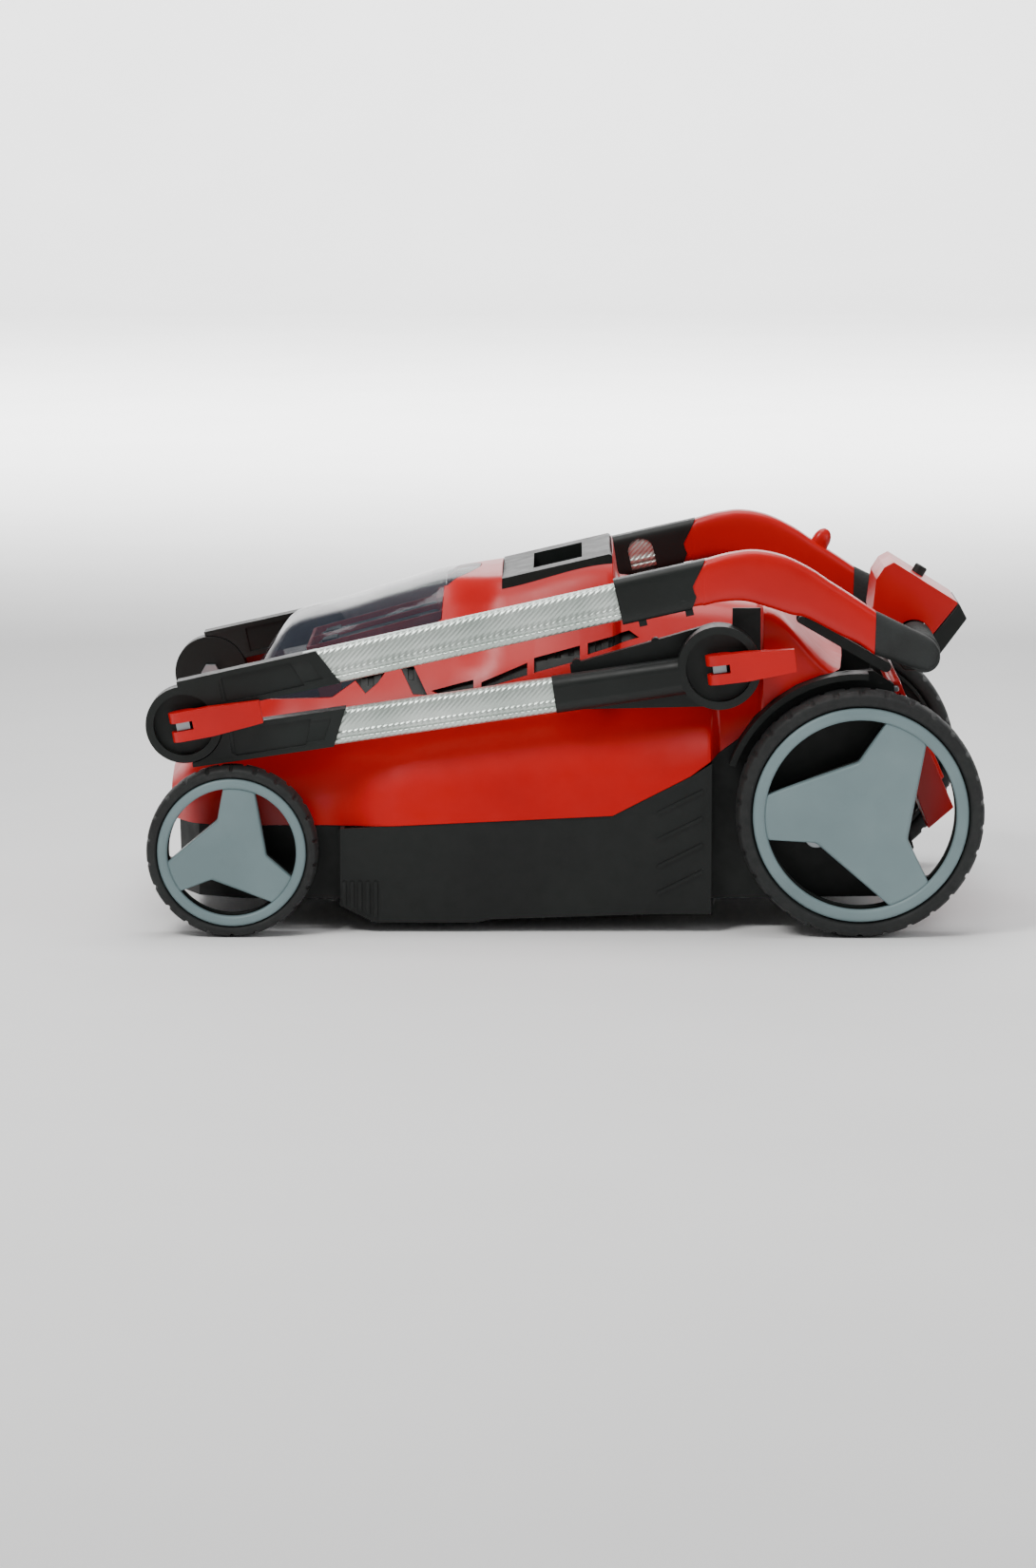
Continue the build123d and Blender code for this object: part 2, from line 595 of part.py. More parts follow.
# ---------------------------------------------------------------- wheels
window_swirl = radians(29.0)     # the inner corner of each opening trails its middle by this much


def window_face(ring_r, corner_r, half_span, turn):
    """One of the three openings between the spokes, as a flat face round the wheel's centre."""
    a0, a1 = turn - half_span, turn + half_span
    p0 = (ring_r * cos(a0), ring_r * sin(a0))
    p1 = (ring_r * cos(a1), ring_r * sin(a1))
    top = (ring_r * cos(turn), ring_r * sin(turn))
    inner = turn - window_swirl
    corner = (corner_r * cos(inner), corner_r * sin(inner))
    outline = make_face([ThreePointArc(p0, top, p1), Line(p1, corner), Line(corner, p0)])
    return fillet(outline.vertices(), ring_r * 0.035)


def spoke_windows(ring_r, corner_r, half_span, phase, centre, y0, y1):
    """The three openings of a wheel as solids, from y0 to y1."""
    plane = Plane(origin=(centre[0], y1, centre[1]), x_dir=(1, 0, 0), z_dir=(0, -1, 0))
    cuts = []
    for i in range(3):
        turn = radians(phase + 120 * i)
        cuts.append(extrude(plane * window_face(ring_r, corner_r, radians(half_span), turn), y1 - y0,
                            dir=(0, -1, 0)))
    return cuts


def tyre(centre, radius, height, y0, y1, blocks):
    """Rubber tyre with shallow staggered tread notches."""
    ring = rod(centre, radius, y0, y1)
    ring = chamfer(ring.edges().filter_by(GeomType.CIRCLE), height * 0.28)
    ring -= rod(centre, radius - height + fit_gap / 4, y0 - 1, y1 + 1)
    middle = (y0 + y1) / 2
    for i in range(blocks):
        angle = 360.0 * (i + 0.5) / blocks
        shoulders = ((0.0, y0 - 1, middle - 5), (0.5, middle + 5, y1 + 1))
        for shift, near, far in shoulders:
            turned = Pos(centre[0], 0, centre[1]) * Rot(0, angle + 360.0 * shift / blocks, 0)
            ring -= turned * block(-3, 3, near, far, radius - 1.6, radius + 2)
    return ring


def wheel_core(centre, rim_r, y0, y1, ring_r, corner_r, half_span, phase):
    """Black wheel body: barrel, hub and three ribs."""
    barrel = rod(centre, rim_r, y0 + 2, y1 - 4) - rod(centre, rim_r - 4, y0, y1)
    middle = (y0 + y1) / 2
    web = rod(centre, rim_r - 2, middle - 4, middle + 4)
    for cut in spoke_windows(ring_r - 2, corner_r, half_span, phase, centre, y0, y1):
        web -= cut
    hub = rod(centre, 15, y0 + 1, y1 - 6)
    return barrel + web + hub - rod(centre, axle_r + running_gap, y0, y1 - 9)


def wheel_cover(centre, rim_r, y1, ring_r, corner_r, half_span, phase):
    """Grey three-spoke wheel trim."""
    trim = rod(centre, rim_r, y1 - 4, y1)
    trim = chamfer(trim.edges().filter_by(GeomType.CIRCLE).sort_by(Axis.Y)[-1], 1.5)
    for cut in spoke_windows(ring_r, corner_r, half_span, phase, centre, y1 - 6, y1 + 2):
        trim -= cut
    return trim


def wheel_set(label, centre, radius, height, width, ring, corner, half_span, phase, blocks):
    """Tyre, body and trim of the two wheels of one axle."""
    y0, y1 = wheel_face - width, wheel_face
    rim_r = radius - height
    save_pair(label + "_tyre", tyre(centre, radius, height, y0, y1, blocks))
    save_pair(label + "_wheel", wheel_core(centre, rim_r, y0, y1, ring, corner, half_span, phase))
    save_pair(label + "_trim", wheel_cover(centre, rim_r, y1, ring, corner, half_span, phase))


# ---------------------------------------------------------------- axles and height adjustment
link_y = 104.0
link_lean = 90.0 + link_arm_lean
lever_pivot = (blade_x + 95.0, 84.0)
lever_shaft_r = 5.0
lever_rest = 124.0
lever_length = 92.0


def link_pin(pivot):
    """Pin on the link arm of a shaft, when the deck is lowest."""
    return along(pivot, link_lean, link_arm, 0)


def cranked_axle(pivot, wheel_centre, tyre_width):
    """Steel shaft with a crank and stub axle at each end, and the arm for the connecting link."""
    body = rod(pivot, axle_r, -crank_inner, crank_inner)
    for side in (-1, 1):
        y0, y1 = sorted((side * crank_inner, side * (crank_inner + crank_thickness)))
        body += capsule(pivot, wheel_centre, 11, y0, y1)
        s0, s1 = sorted((side * crank_inner, side * (wheel_face - 10)))
        body += rod(wheel_centre, axle_r, s0, s1)
        collar = wheel_face - tyre_width - side_gap
        if collar > crank_inner + crank_thickness + 1:
            c0, c1 = sorted((side * (crank_inner + crank_thickness), side * collar))
            body += rod(wheel_centre, axle_r + 4, c0, c1)
    body += capsule(pivot, link_pin(pivot), 8, link_y - 6, link_y - 1)
    return body - rod(link_pin(pivot), link_pin_r + running_gap, link_y - 10, link_y + 10)


def height_link():
    """Flat bar that makes the two axles and the lever turn together."""
    y0, y1 = link_y - 0.5, link_y + 3.5
    pins = [link_pin(p) for p in (front_crank, lever_pivot, rear_crank)]
    body = capsule(pins[0], pins[2], 6, y0, y1)
    on_bar = pins[0][1] + (pins[2][1] - pins[0][1]) * (pins[1][0] - pins[0][0]) / (pins[2][0] - pins[0][0])
    body += capsule((pins[1][0], on_bar), pins[1], 6, y0, y1)
    for pin in pins:
        body += rod(pin, link_pin_r, link_y - 7, link_y)
    return body


def height_lever():
    """Cutting-height lever on the right side, with its shaft and inner arm."""
    shaft = rod(lever_pivot, lever_shaft_r, link_y - 6, skirt_half + 9)
    inner = capsule(lever_pivot, link_pin(lever_pivot), 9, link_y - 6, link_y - 1)
    inner -= rod(link_pin(lever_pivot), link_pin_r + running_gap, link_y - 10, link_y + 10)
    tip = along(lever_pivot, lever_rest, lever_length, 0)
    arm = capsule(lever_pivot, tip, 7, skirt_half + 4, skirt_half + 9)
    knob = rod(tip, 9, skirt_half + 4, skirt_half + 20)
    knob = fillet(knob.edges().filter_by(GeomType.CIRCLE), 3)
    return shaft + inner + arm + knob


# ---------------------------------------------------------------- handle mounts and lower half
mount_bosses = [(rear_pivot[0], rear_pivot[1], 15.0), (rear_pivot[0] - 98, rear_pivot[1] - 20, 9.0)]


def handle_mount():
    """Black mounting plate of the handle on the right side of the hood."""
    px, pz = rear_pivot
    y0, y1 = body_half + 0.5, mount_outer
    tail = [(px - 132, pz), (px - 4, pz + rear_hub_r), (px + 2, pz - rear_hub_r), (px - 127, pz - 40)]
    plate = slab(tail, y0, y1) + rod(rear_pivot, rear_hub_r, y0, y1)
    web = [(px + 12, pz + 20), (px + 12, pz + 50), (px + rear_hub_r, pz + 50), (px + rear_hub_r, pz)]
    plate += slab(web, y0, y0 + 4)
    for x, z in ((px - 126, pz + 1), (px - 56, pz + 20)):
        plate += rod((x, z), 4, y0, y1 - 1)
    for x, z, r in mount_bosses:
        plate += rod((x, z), r, hood_wall_half - 12, y0 + 1)
    return plate - rod(rear_pivot, pivot_bolt_r + running_gap, hood_wall_half - 20, y1 + 1)


def lower_bar(u0, u1, width, height):
    """A bar on the lower tube's line, between two distances from the knee."""
    start = along(knee, lower_slope, u0, -knee_offset)
    return oval_bar(start, lower_slope, u1 - u0, width, height, tube_y)


bracket_long = 143.5            # inner end of a knee bracket's slanted edge, from the knee
bracket_short = 128.3           # outer end of that edge
bracket_height = 32.3
spigot_length = 40.0
socket_start = lower_run - 148.0
bracket_start = 2.0


def lower_tube():
    """Aluminium tube of the lower half."""
    u0, u1 = bracket_short - 12, socket_start
    tube = lower_bar(u0, u1, tube_width, lower_tube_height)
    return tube - lower_bar(u0 - 1, u1 + 1, tube_width - 2 * tube_wall, lower_tube_height - 2 * tube_wall)


def spigot(origin, slope, u0, u1, v, height):
    """Plug inside the end of a tube."""
    start = along(origin, slope, u0, v)
    inner_w = tube_width - 2 * (tube_wall + fit_gap)
    inner_h = height - 2 * (tube_wall + fit_gap)
    return oval_bar(start, slope, u1 - u0, inner_w, inner_h, tube_y)


def rear_bracket():
    """Black socket and hub that turn on the rear pivot."""
    body = lower_bar(socket_start, lower_run, bracket_width, lower_tube_height + 2)
    body += rod(rear_pivot, rear_hub_r, bracket_inner, bracket_outer)
    body += spigot(knee, lower_slope, socket_start - spigot_length, socket_start + 2, -knee_offset,
                   lower_tube_height)
    body -= rod(rear_pivot, rear_hub_r - 7, bracket_outer - hub_recess, bracket_outer + 1)
    return body - rod(rear_pivot, pivot_bolt_r + running_gap, bracket_inner - 1, bracket_outer + 1)


def knee_arm(slope, side):
    """Outline of a knee bracket's arm: side is +1 above the knee and -1 below it."""
    v0 = side * (knee_offset - bracket_height / 2)
    v1 = side * (knee_offset + bracket_height / 2)
    corners = [(bracket_start, v0), (bracket_start, v1), (bracket_short, v1), (bracket_long, v0)]
    return [along(knee, slope, u, v) for u, v in corners]


def knee_panel(slope, side):
    """Outline of the long sunk panel in the arm's outer face."""
    v0 = side * (knee_offset - bracket_height / 2 + 7)
    v1 = side * (knee_offset + bracket_height / 2 - 7)
    corners = [(knee_r + 4, v0), (knee_r + 4, v1), (bracket_short - 8, v1), (bracket_long - 14, v0)]
    return [along(knee, slope, u, v) for u, v in corners]


def knee_bracket(slope, side, disc_y, other_y, tube_height):
    """Half of the knee: a disc in one layer and an arm of full width."""
    arm = slab(knee_arm(slope, side), bracket_inner, bracket_outer)
    arm -= rod(knee, knee_r + 0.8, other_y[0], other_y[1])
    body = arm + rod(knee, knee_r, disc_y[0], disc_y[1])
    body -= slab(knee_panel(slope, side), bracket_outer - 1.5, bracket_outer + 1)
    body -= tube_pocket(slope, side, tube_height)
    body += spigot(knee, slope, bracket_short - 13, bracket_long + 22, side * knee_offset, tube_height)
    return body - rod(knee, pivot_bolt_r + running_gap, bracket_inner - 1, bracket_outer + 1)


def tube_pocket(slope, side, height):
    """Socket for a tube in a knee bracket's end."""
    start = along(knee, slope, bracket_short - 12, side * knee_offset)
    return oval_bar(start, slope, 60, tube_width + 2 * fit_gap, height + 2 * fit_gap, tube_y)


def lower_knee_bracket():
    """Inner disc and lower arm."""
    disc = (bracket_inner, knee_split - 0.2)
    room = (knee_split - 0.2, bracket_outer + 1)
    return knee_bracket(lower_slope, -1, disc, room, lower_tube_height)


def upper_knee_bracket():
    """Outer disc and upper arm, with the dished face for the clamp lever."""
    disc = (knee_split + 0.2, bracket_outer)
    room = (bracket_inner - 1, knee_split + 0.2)
    body = knee_bracket(upper_slope, 1, disc, room, upper_tube_height)
    return body - rod(knee, knee_r - 7, bracket_outer - hub_recess, bracket_outer + 1)


def upper_tube():
    """Aluminium tube of the upper half; it runs on inside the handlebar coupling."""
    u0, u1 = bracket_short - 12, upper_run + coupling_length + tube_reach
    start = along(knee, upper_slope, u0, knee_offset)
    bore = along(knee, upper_slope, u0 - 1, knee_offset)
    tube = oval_bar(start, upper_slope, u1 - u0, tube_width, upper_tube_height, tube_y)
    return tube - oval_bar(bore, upper_slope, u1 - u0 + 2, tube_width - 2 * tube_wall,
                           upper_tube_height - 2 * tube_wall, tube_y)


# ---------------------------------------------------------------- clamps
cam_r = 11.5
clamp_y = bracket_outer - hub_recess + 0.5 + cam_r


def pivot_bolt(centre, inner, slope):
    """Bolt with a nut at its inner end and an eye with a cross pin for the clamp lever."""
    hub_floor = bracket_outer - hub_recess
    body = rod(centre, pivot_bolt_r, inner, hub_floor + 0.3)
    nut_y = inner
    body += Pos(centre[0], nut_y, centre[1]) * Rot(90, 0, 0) * extrude(RegularPolygon(9, 6), 6)
    eye = [along(centre, slope, u, v) for u, v in [(-6, -3.2), (6, -3.2), (6, 3.2), (-6, 3.2)]]
    body += slab(eye, hub_floor + 0.1, clamp_y + 6)
    a = radians(slope)
    pin = Plane(origin=(centre[0] + 11 * sin(a), clamp_y, centre[1] - 11 * cos(a)),
                z_dir=(-sin(a), 0, cos(a)))
    return body + extrude(pin * Circle(clamp_pin_r), 22)


def clamp_lever(centre, slope, length):
    """Red quick-release lever: a cam with a forked end and a flat handle."""
    a = radians(slope)
    plane = Plane(origin=(centre[0] - 13 * -sin(a), clamp_y, centre[1] - 13 * cos(a)),
                  x_dir=(cos(a), 0, sin(a)), z_dir=(-sin(a), 0, cos(a)))
    cam = extrude(plane * Circle(cam_r), 26)
    near = bracket_outer + 1.0 - clamp_y
    profile = [(0, near), (length, near + 1), (length, cam_r - 4), (length * 0.85, cam_r - 2),
               (length * 0.4, cam_r), (0, cam_r)]
    handle_face = plane * make_face(Polyline(*profile, close=True))
    body = cam + extrude(handle_face, 26)
    plan = [(-cam_r, -13), (length * 0.35, -13), (length, -10), (length, 10), (length * 0.35, 13),
            (-cam_r, 13)]
    body = body & slab([along(centre, slope, u, v) for u, v in plan], clamp_y - 30, clamp_y + 30)
    fork = [(-cam_r - 1, -3.8), (9, -3.8), (9, 3.8), (-cam_r - 1, 3.8)]
    body -= slab([along(centre, slope, u, v) for u, v in fork], clamp_y - 30, clamp_y + 30)
    return body - extrude(plane * Circle(clamp_pin_r + running_gap), 26)


# ---------------------------------------------------------------- handlebar
coupling_length = 83.0
coupling_height = 41.0
coupling_wall = 3.0
tube_reach = 25.0               # the tube's end beyond the coupling, inside the arm
arm_inner = tube_y - tube_width / 2 - coupling_wall
arm_outer = tube_y + tube_width / 2 + coupling_wall
head = along(knee, upper_slope, upper_run, knee_offset)


def head_points(points):
    """Points given from the coupling's start, moved to their place."""
    return [(head[0] + dx, head[1] + dz) for dx, dz in points]


def tube_room(u0, u1):
    """Sliding room for the upper tube."""
    start = along(head, upper_slope, u0, 0)
    return oval_bar(start, upper_slope, u1 - u0, tube_width + 0.8, upper_tube_height + 0.8, tube_y)


def coupling():
    """Black clamp sleeve between the upper tube and the handlebar."""
    top, low = coupling_height / 2, -coupling_height / 2
    corners = [(0, low), (62, low), (76, low + 11), (69, top - 22), (coupling_length, top), (0, top)]
    body = soft_slab([along(head, upper_slope, u, v) for u, v in corners], arm_inner, arm_outer, 2)
    for u in (14, 56):
        foot = [(u, low - 5), (u + 7, low - 5), (u + 7, low + 1), (u, low + 1)]
        body += slab([along(head, upper_slope, *point) for point in foot], arm_inner + 4, arm_outer - 8)
    body -= tube_room(-1, coupling_length + 1)
    arch = [along(head, upper_slope, u, v) for u, v in [(14, low - 1), (38, low - 1), (38, 2), (14, 2)]]
    depth = (arm_inner - 1, arm_inner + coupling_wall + 0.2)
    body -= slab(arch, *depth)
    return body - rod(along(head, upper_slope, 26, 2), 12, *depth)


def handlebar_arm():
    """Red arm of the handlebar, from the coupling round the bend to the grip."""
    outline = head_points([(70, -1), (64.5, 12), (81.7, 39.7), (99, 44), (116.7, 46), (134, 43.5),
                           (150.5, 39.8), (170, 29), (186.6, 17.2), (227.1, -7.8), (226, -46.8),
                           (212.9, -35.6), (197, -30.6), (181, -19.6), (165.1, -11.7), (151.7, -12.9),
                           (133, -5), (111.5, 1.7), (90, 2), (80, -8)])
    body = slab(outline, arm_inner, arm_outer)
    lock_gap = [(0, -30), (62.5, -30), (62.5, -21), (76.9, -9.4), (69.9, -1.3),
                (coupling_length + 0.7, 21), (0, 40)]
    body -= slab([along(head, upper_slope, u, v) for u, v in lock_gap], arm_inner - 1, arm_outer + 1)
    body -= tube_room(40, coupling_length + tube_reach + 0.5)
    body -= rod(bail_pivot, 3 + running_gap, arm_inner - 1, arm_inner + 9)
    return body


bar_centre = (head[0] + 270.1, head[1] - 47.8)
bar_r = 16.0


def crossbar():
    """Black soft-grip crossbar with its two corner pieces."""
    body = rod(bar_centre, bar_r, -arm_outer, arm_outer)
    corner = head_points([(227.6, -8.1), (275.6, -31.4), (289, -37), (293, -48), (284, -58), (272.6, -63.4),
                          (230.6, -47.4), (226.5, -46.4)])
    for side in (-1, 1):
        y0, y1 = sorted((side * arm_inner, side * arm_outer))
        body += slab(corner, y0, y1)
    return body


box_half = 50.0


def switch_box_upper():
    """Red upper shell of the switch box."""
    shell = centre_slab(head_points([(232, -28), (236, 5), (243, 16), (251.6, 20.7), (310.6, -16.3),
                                     (285.1, -48.1), (250, -35)]), box_half)
    shell = fillet(shell.edges().filter_by(Axis.Y), 2)
    room = centre_slab(head_points([(240, -25), (241, 2), (246, 11), (252, 15.5), (303.5, -17), (285.1, -40),
                                    (252, -30)]), box_half - 3)
    body = shell - room - rod(bar_centre, bar_r + 0.1, -box_half - 1, box_half + 1)
    return body - button_bore()


def switch_box_lower():
    """Black lower shell of the switch box."""
    outline = head_points([(250.5, -36), (285.3, -48.9), (311.2, -16.9), (318.4, -30.8), (293.8, -64),
                           (281.9, -79), (262, -78), (252, -66)])
    shell = centre_slab(outline, box_half)
    return shell - rod(bar_centre, bar_r + 0.1, -box_half - 1, box_half + 1)


button_slope = 30.5
button_r = 6.0
button_base = (head[0] + 276.0, head[1] + 5.4)


def button_frame():
    """A frame on the box's top face, with its z pointing out of it."""
    a = radians(button_slope)
    return Plane(origin=(button_base[0], 0, button_base[1]), x_dir=(cos(a), 0, -sin(a)),
                 z_dir=(sin(a), 0, cos(a)))


def button_bore():
    """Guide hole of the lock-off button."""
    return extrude(button_frame() * Circle(button_r + 0.3), 12, both=True)


def lock_button():
    """Black lock-off button with a collar inside the box."""
    stem = extrude(button_frame() * Circle(button_r), 8) + extrude(button_frame() * Circle(button_r), -9)
    stem = fillet(stem.edges().filter_by(GeomType.CIRCLE).sort_by(Axis.X)[-1], 1.5)
    collar = extrude(button_frame().offset(-9) * Circle(button_r + 2.5), 2)
    return stem + collar


bail_pivot = (head[0] + 163.0, head[1] - 16.5)
bail_bar = (head[0] + 238.0, head[1] - 59.8)
bail_r = 4.5
bail_side = arm_inner - 5.0


def bail():
    """Black starter bail: a bar under the crossbar on two side arms."""
    body = rod(bail_bar, bail_r, -bail_side - 4, bail_side + 4)
    for side in (-1, 1):
        y0, y1 = sorted((side * (bail_side - 4), side * (bail_side + 4)))
        body += capsule(bail_pivot, bail_bar, bail_r, y0, y1)
        p0, p1 = sorted((side * (bail_side - 4), side * (arm_inner + 8)))
        body += rod(bail_pivot, 3, p0, p1)
    return body


# ---------------------------------------------------------------- build every node
os.makedirs("parts", exist_ok=True)

save("hood", hood())
save("battery_lid", battery_lid())
save("vent_grilles", vent_grilles())
save("deck", deck())
save("discharge_chute", discharge_chute())
save("rear_flap", rear_flap())
save("hinge_rods", hinge_rods())
save("battery_bay", battery_bay())
save("battery_pack_right", battery_pack(1))
save("battery_pack_left", battery_pack(-1))
save("safety_key", safety_key())
save("motor_housing", motor_housing())
save("control_board", control_board())
save("blade", blade())
save("blade_holder", blade_holder())
save("blade_bolt", blade_bolt())
save("carry_handle", carry_handle())
save_pair("handle_mount", handle_mount())
save("height_lever", height_lever())
save("height_link", height_link())
save("front_axle", cranked_axle(front_crank, (front_axle_x, front_axle_z), front_tyre_width))
save("rear_axle", cranked_axle(rear_crank, (rear_axle_x, rear_axle_z), rear_tyre_width))
wheel_set("front", (front_axle_x, front_axle_z), front_wheel_r, front_tyre_height, front_tyre_width,
          58.5, 31.0, 46.0, 23, 18)
wheel_set("rear", (rear_axle_x, rear_axle_z), rear_wheel_r, rear_tyre_height, rear_tyre_width,
          86.0, 47.0, 46.5, 1.5, 22)
save_pair("lower_tube", lower_tube())
save_pair("rear_bracket", rear_bracket())
save_pair("lower_knee_bracket", lower_knee_bracket())
save_pair("upper_knee_bracket", upper_knee_bracket())
save_pair("upper_tube", upper_tube())
rear_bolt = pivot_bolt(rear_pivot, hood_wall_half - 12, lower_slope - 1.5)
knee_bolt = pivot_bolt(knee, bracket_inner, 10.8)
save("rear_pivot_bolts", Compound(children=[rear_bolt, mirror(rear_bolt, about=Plane.XZ)]))
save("knee_bolts", Compound(children=[knee_bolt, mirror(knee_bolt, about=Plane.XZ)]))
save_pair("rear_clamp", clamp_lever(rear_pivot, lower_slope - 1.5, 67.0))
save_pair("knee_clamp", clamp_lever(knee, 10.8, 70.0))
save_pair("coupling", coupling())
save_pair("handlebar_arm", handlebar_arm())
save("crossbar", crossbar())
save("switch_box_upper", switch_box_upper())
save("switch_box_lower", switch_box_lower())
save("lock_button", lock_button())
save("bail", bail())
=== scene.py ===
from math import cos, pi, radians, sin

import bmesh
import bpy
import json
import numpy as np
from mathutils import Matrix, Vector


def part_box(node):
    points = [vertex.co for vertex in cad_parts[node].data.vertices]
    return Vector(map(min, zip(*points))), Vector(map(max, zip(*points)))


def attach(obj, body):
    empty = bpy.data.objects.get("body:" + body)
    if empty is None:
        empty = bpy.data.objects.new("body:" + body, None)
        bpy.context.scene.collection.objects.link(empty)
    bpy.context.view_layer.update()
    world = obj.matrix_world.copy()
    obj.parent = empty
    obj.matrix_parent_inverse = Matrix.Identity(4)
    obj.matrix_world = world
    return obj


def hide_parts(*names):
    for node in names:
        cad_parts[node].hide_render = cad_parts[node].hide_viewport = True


# A battery push lawn mower with its handle folded over the hood.
# Metres. +Z is up, the front points to -X, and the camera looks at the -Y side.

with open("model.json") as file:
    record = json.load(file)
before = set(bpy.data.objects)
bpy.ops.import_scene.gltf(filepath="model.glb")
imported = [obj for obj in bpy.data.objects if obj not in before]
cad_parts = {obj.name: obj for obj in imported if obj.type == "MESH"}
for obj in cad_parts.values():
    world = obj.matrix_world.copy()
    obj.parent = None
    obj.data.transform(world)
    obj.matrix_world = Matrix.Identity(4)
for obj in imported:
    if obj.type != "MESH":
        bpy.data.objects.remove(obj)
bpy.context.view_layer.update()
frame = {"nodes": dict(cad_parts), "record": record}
nodes = frame["nodes"]
body_of_node = {}
for body, members in frame["record"]["behaviour"]["bodies"].items():
    for member in members:
        body_of_node[member] = body
slot_of_node = {part["node"]: part["material_slot"] for part in frame["record"]["subparts"]}
MM = 0.001
LEFT, RIGHT = -1, 1
SIDES = (("left", LEFT), ("right", RIGHT))
CAD_WELD = 2e-6
GRID_WELD = 1e-6
EDGE_ANGLE = radians(32.0)
FLAT_ANGLE = radians(1.0)


# ---------------------------------------------------------------- materials
def colour(text):
    """Linear colour of an sRGB hex value."""
    levels = [int(text[i:i + 2], 16) / 255 for i in (0, 2, 4)]
    return tuple([c / 12.92 if c <= 0.04045 else ((c + 0.055) / 1.055) ** 2.4 for c in levels] + [1.0])


def add(tree, kind, settings=None, links=None):
    """One shader node with its settings, and links into its sockets."""
    node = tree.nodes.new(kind)
    for name, value in (settings or {}).items():
        if name in node.inputs:
            node.inputs[name].default_value = value
        else:
            setattr(node, name, value)
    for name, source in (links or {}).items():
        tree.links.new(source, node.inputs[name])
    return node


def begin(name):
    """An empty node material with its surface shader and object coordinates."""
    material = bpy.data.materials.new(name)
    material.use_nodes = True
    tree = material.node_tree
    tree.nodes.clear()
    shader = add(tree, "ShaderNodeBsdfPrincipled")
    add(tree, "ShaderNodeOutputMaterial", links={"Surface": shader.outputs["BSDF"]})
    place = add(tree, "ShaderNodeTexCoord").outputs["Object"]
    return material, tree, shader, place


def vary(tree, place, shade, light, scale):
    """A colour that drifts between two shades with a soft noise."""
    cloud = add(tree, "ShaderNodeTexNoise", {"Scale": scale, "Detail": 4.0}, {"Vector": place})
    span = add(tree, "ShaderNodeMapRange", {"From Min": 0.35, "From Max": 0.65}, {"Value": cloud.outputs["Fac"]})
    mix = add(tree, "ShaderNodeMix", {"data_type": "RGBA"}, {"Factor": span.outputs["Result"]})
    mix.inputs[6].default_value = colour(shade)
    mix.inputs[7].default_value = colour(light)
    return mix.outputs[2]


def rough(tree, place, scale, low, high):
    """Roughness that drifts between two values with a noise."""
    cloud = add(tree, "ShaderNodeTexNoise", {"Scale": scale, "Detail": 6.0, "Roughness": 0.6}, {"Vector": place})
    span = add(tree, "ShaderNodeMapRange", {"From Min": 0.3, "From Max": 0.7, "To Min": low, "To Max": high},
               {"Value": cloud.outputs["Fac"]})
    return span.outputs["Result"]


def bump(tree, height, depth, strength, under=None):
    """A bump of a given depth in metres, over another one if there is one."""
    links = {"Height": height}
    if under is not None:
        links["Normal"] = under
    return add(tree, "ShaderNodeBump", {"Strength": strength, "Distance": depth}, links).outputs["Normal"]


def moulded(name, shade, light, rough_low, rough_high, grain_mm, grain_depth, gloss=0.3):
    """Injection-moulded plastic: a faint colour drift, a fine spark-eroded grain and scuffed gloss."""
    material, tree, shader, place = begin(name)
    base = vary(tree, place, shade, light, 9.0)
    tree.links.new(base, shader.inputs["Base Color"])
    tree.links.new(rough(tree, place, 60.0, rough_low, rough_high), shader.inputs["Roughness"])
    grain = add(tree, "ShaderNodeTexNoise", {"Scale": 1 / (grain_mm * MM), "Detail": 3.0}, {"Vector": place})
    swell = add(tree, "ShaderNodeTexNoise", {"Scale": 45.0, "Detail": 1.0}, {"Vector": place})
    first = bump(tree, swell.outputs["Fac"], 0.00008, 0.4)
    tree.links.new(bump(tree, grain.outputs["Fac"], grain_depth * MM, 0.5, first), shader.inputs["Normal"])
    shader.inputs["IOR"].default_value = 1.53
    shader.inputs["Specular IOR Level"].default_value = gloss
    return material


def red_abs():
    """High-gloss moulded ABS: deep red, soft highlights, a slight orange peel."""
    return moulded("moulded_abs_red", "B40001", "C20102", 0.30, 0.38, 0.7, 0.003, 0.34)


def bay_abs():
    """The same ABS with a plain mould finish, inside the battery bay."""
    return moulded("moulded_abs_bay_red", "B00C16", "C8202A", 0.36, 0.48, 1.0, 0.02)


def black_pp():
    """Glass-filled polypropylene: near black with a grey bloom and a satin spark-eroded grain."""
    return moulded("moulded_polypropylene_black", "0E1210", "151A18", 0.40, 0.54, 0.9, 0.03)


def deck_pp():
    """Deck polypropylene: a shade duller than the handle parts, with dust in its grain."""
    return moulded("moulded_polypropylene_deck", "0B0E0D", "121614", 0.50, 0.64, 1.1, 0.04)


def wheel_grey():
    """Blue-grey polypropylene trim with a satin face."""
    return moulded("moulded_polypropylene_grey", "6C7F82", "7A8D90", 0.36, 0.48, 0.8, 0.02)


def tyre_rubber():
    """Blow-moulded PVC rubber: matt, slightly dusty on its flanks."""
    material, tree, shader, place = begin("moulded_rubber_tyre")
    tree.links.new(vary(tree, place, "0A0C0C", "131716", 30.0), shader.inputs["Base Color"])
    tree.links.new(rough(tree, place, 120.0, 0.6, 0.8), shader.inputs["Roughness"])
    grain = add(tree, "ShaderNodeTexNoise", {"Scale": 1400.0, "Detail": 3.0}, {"Vector": place})
    tree.links.new(bump(tree, grain.outputs["Fac"], 0.00005, 0.7), shader.inputs["Normal"])
    shader.inputs["IOR"].default_value = 1.52
    return material


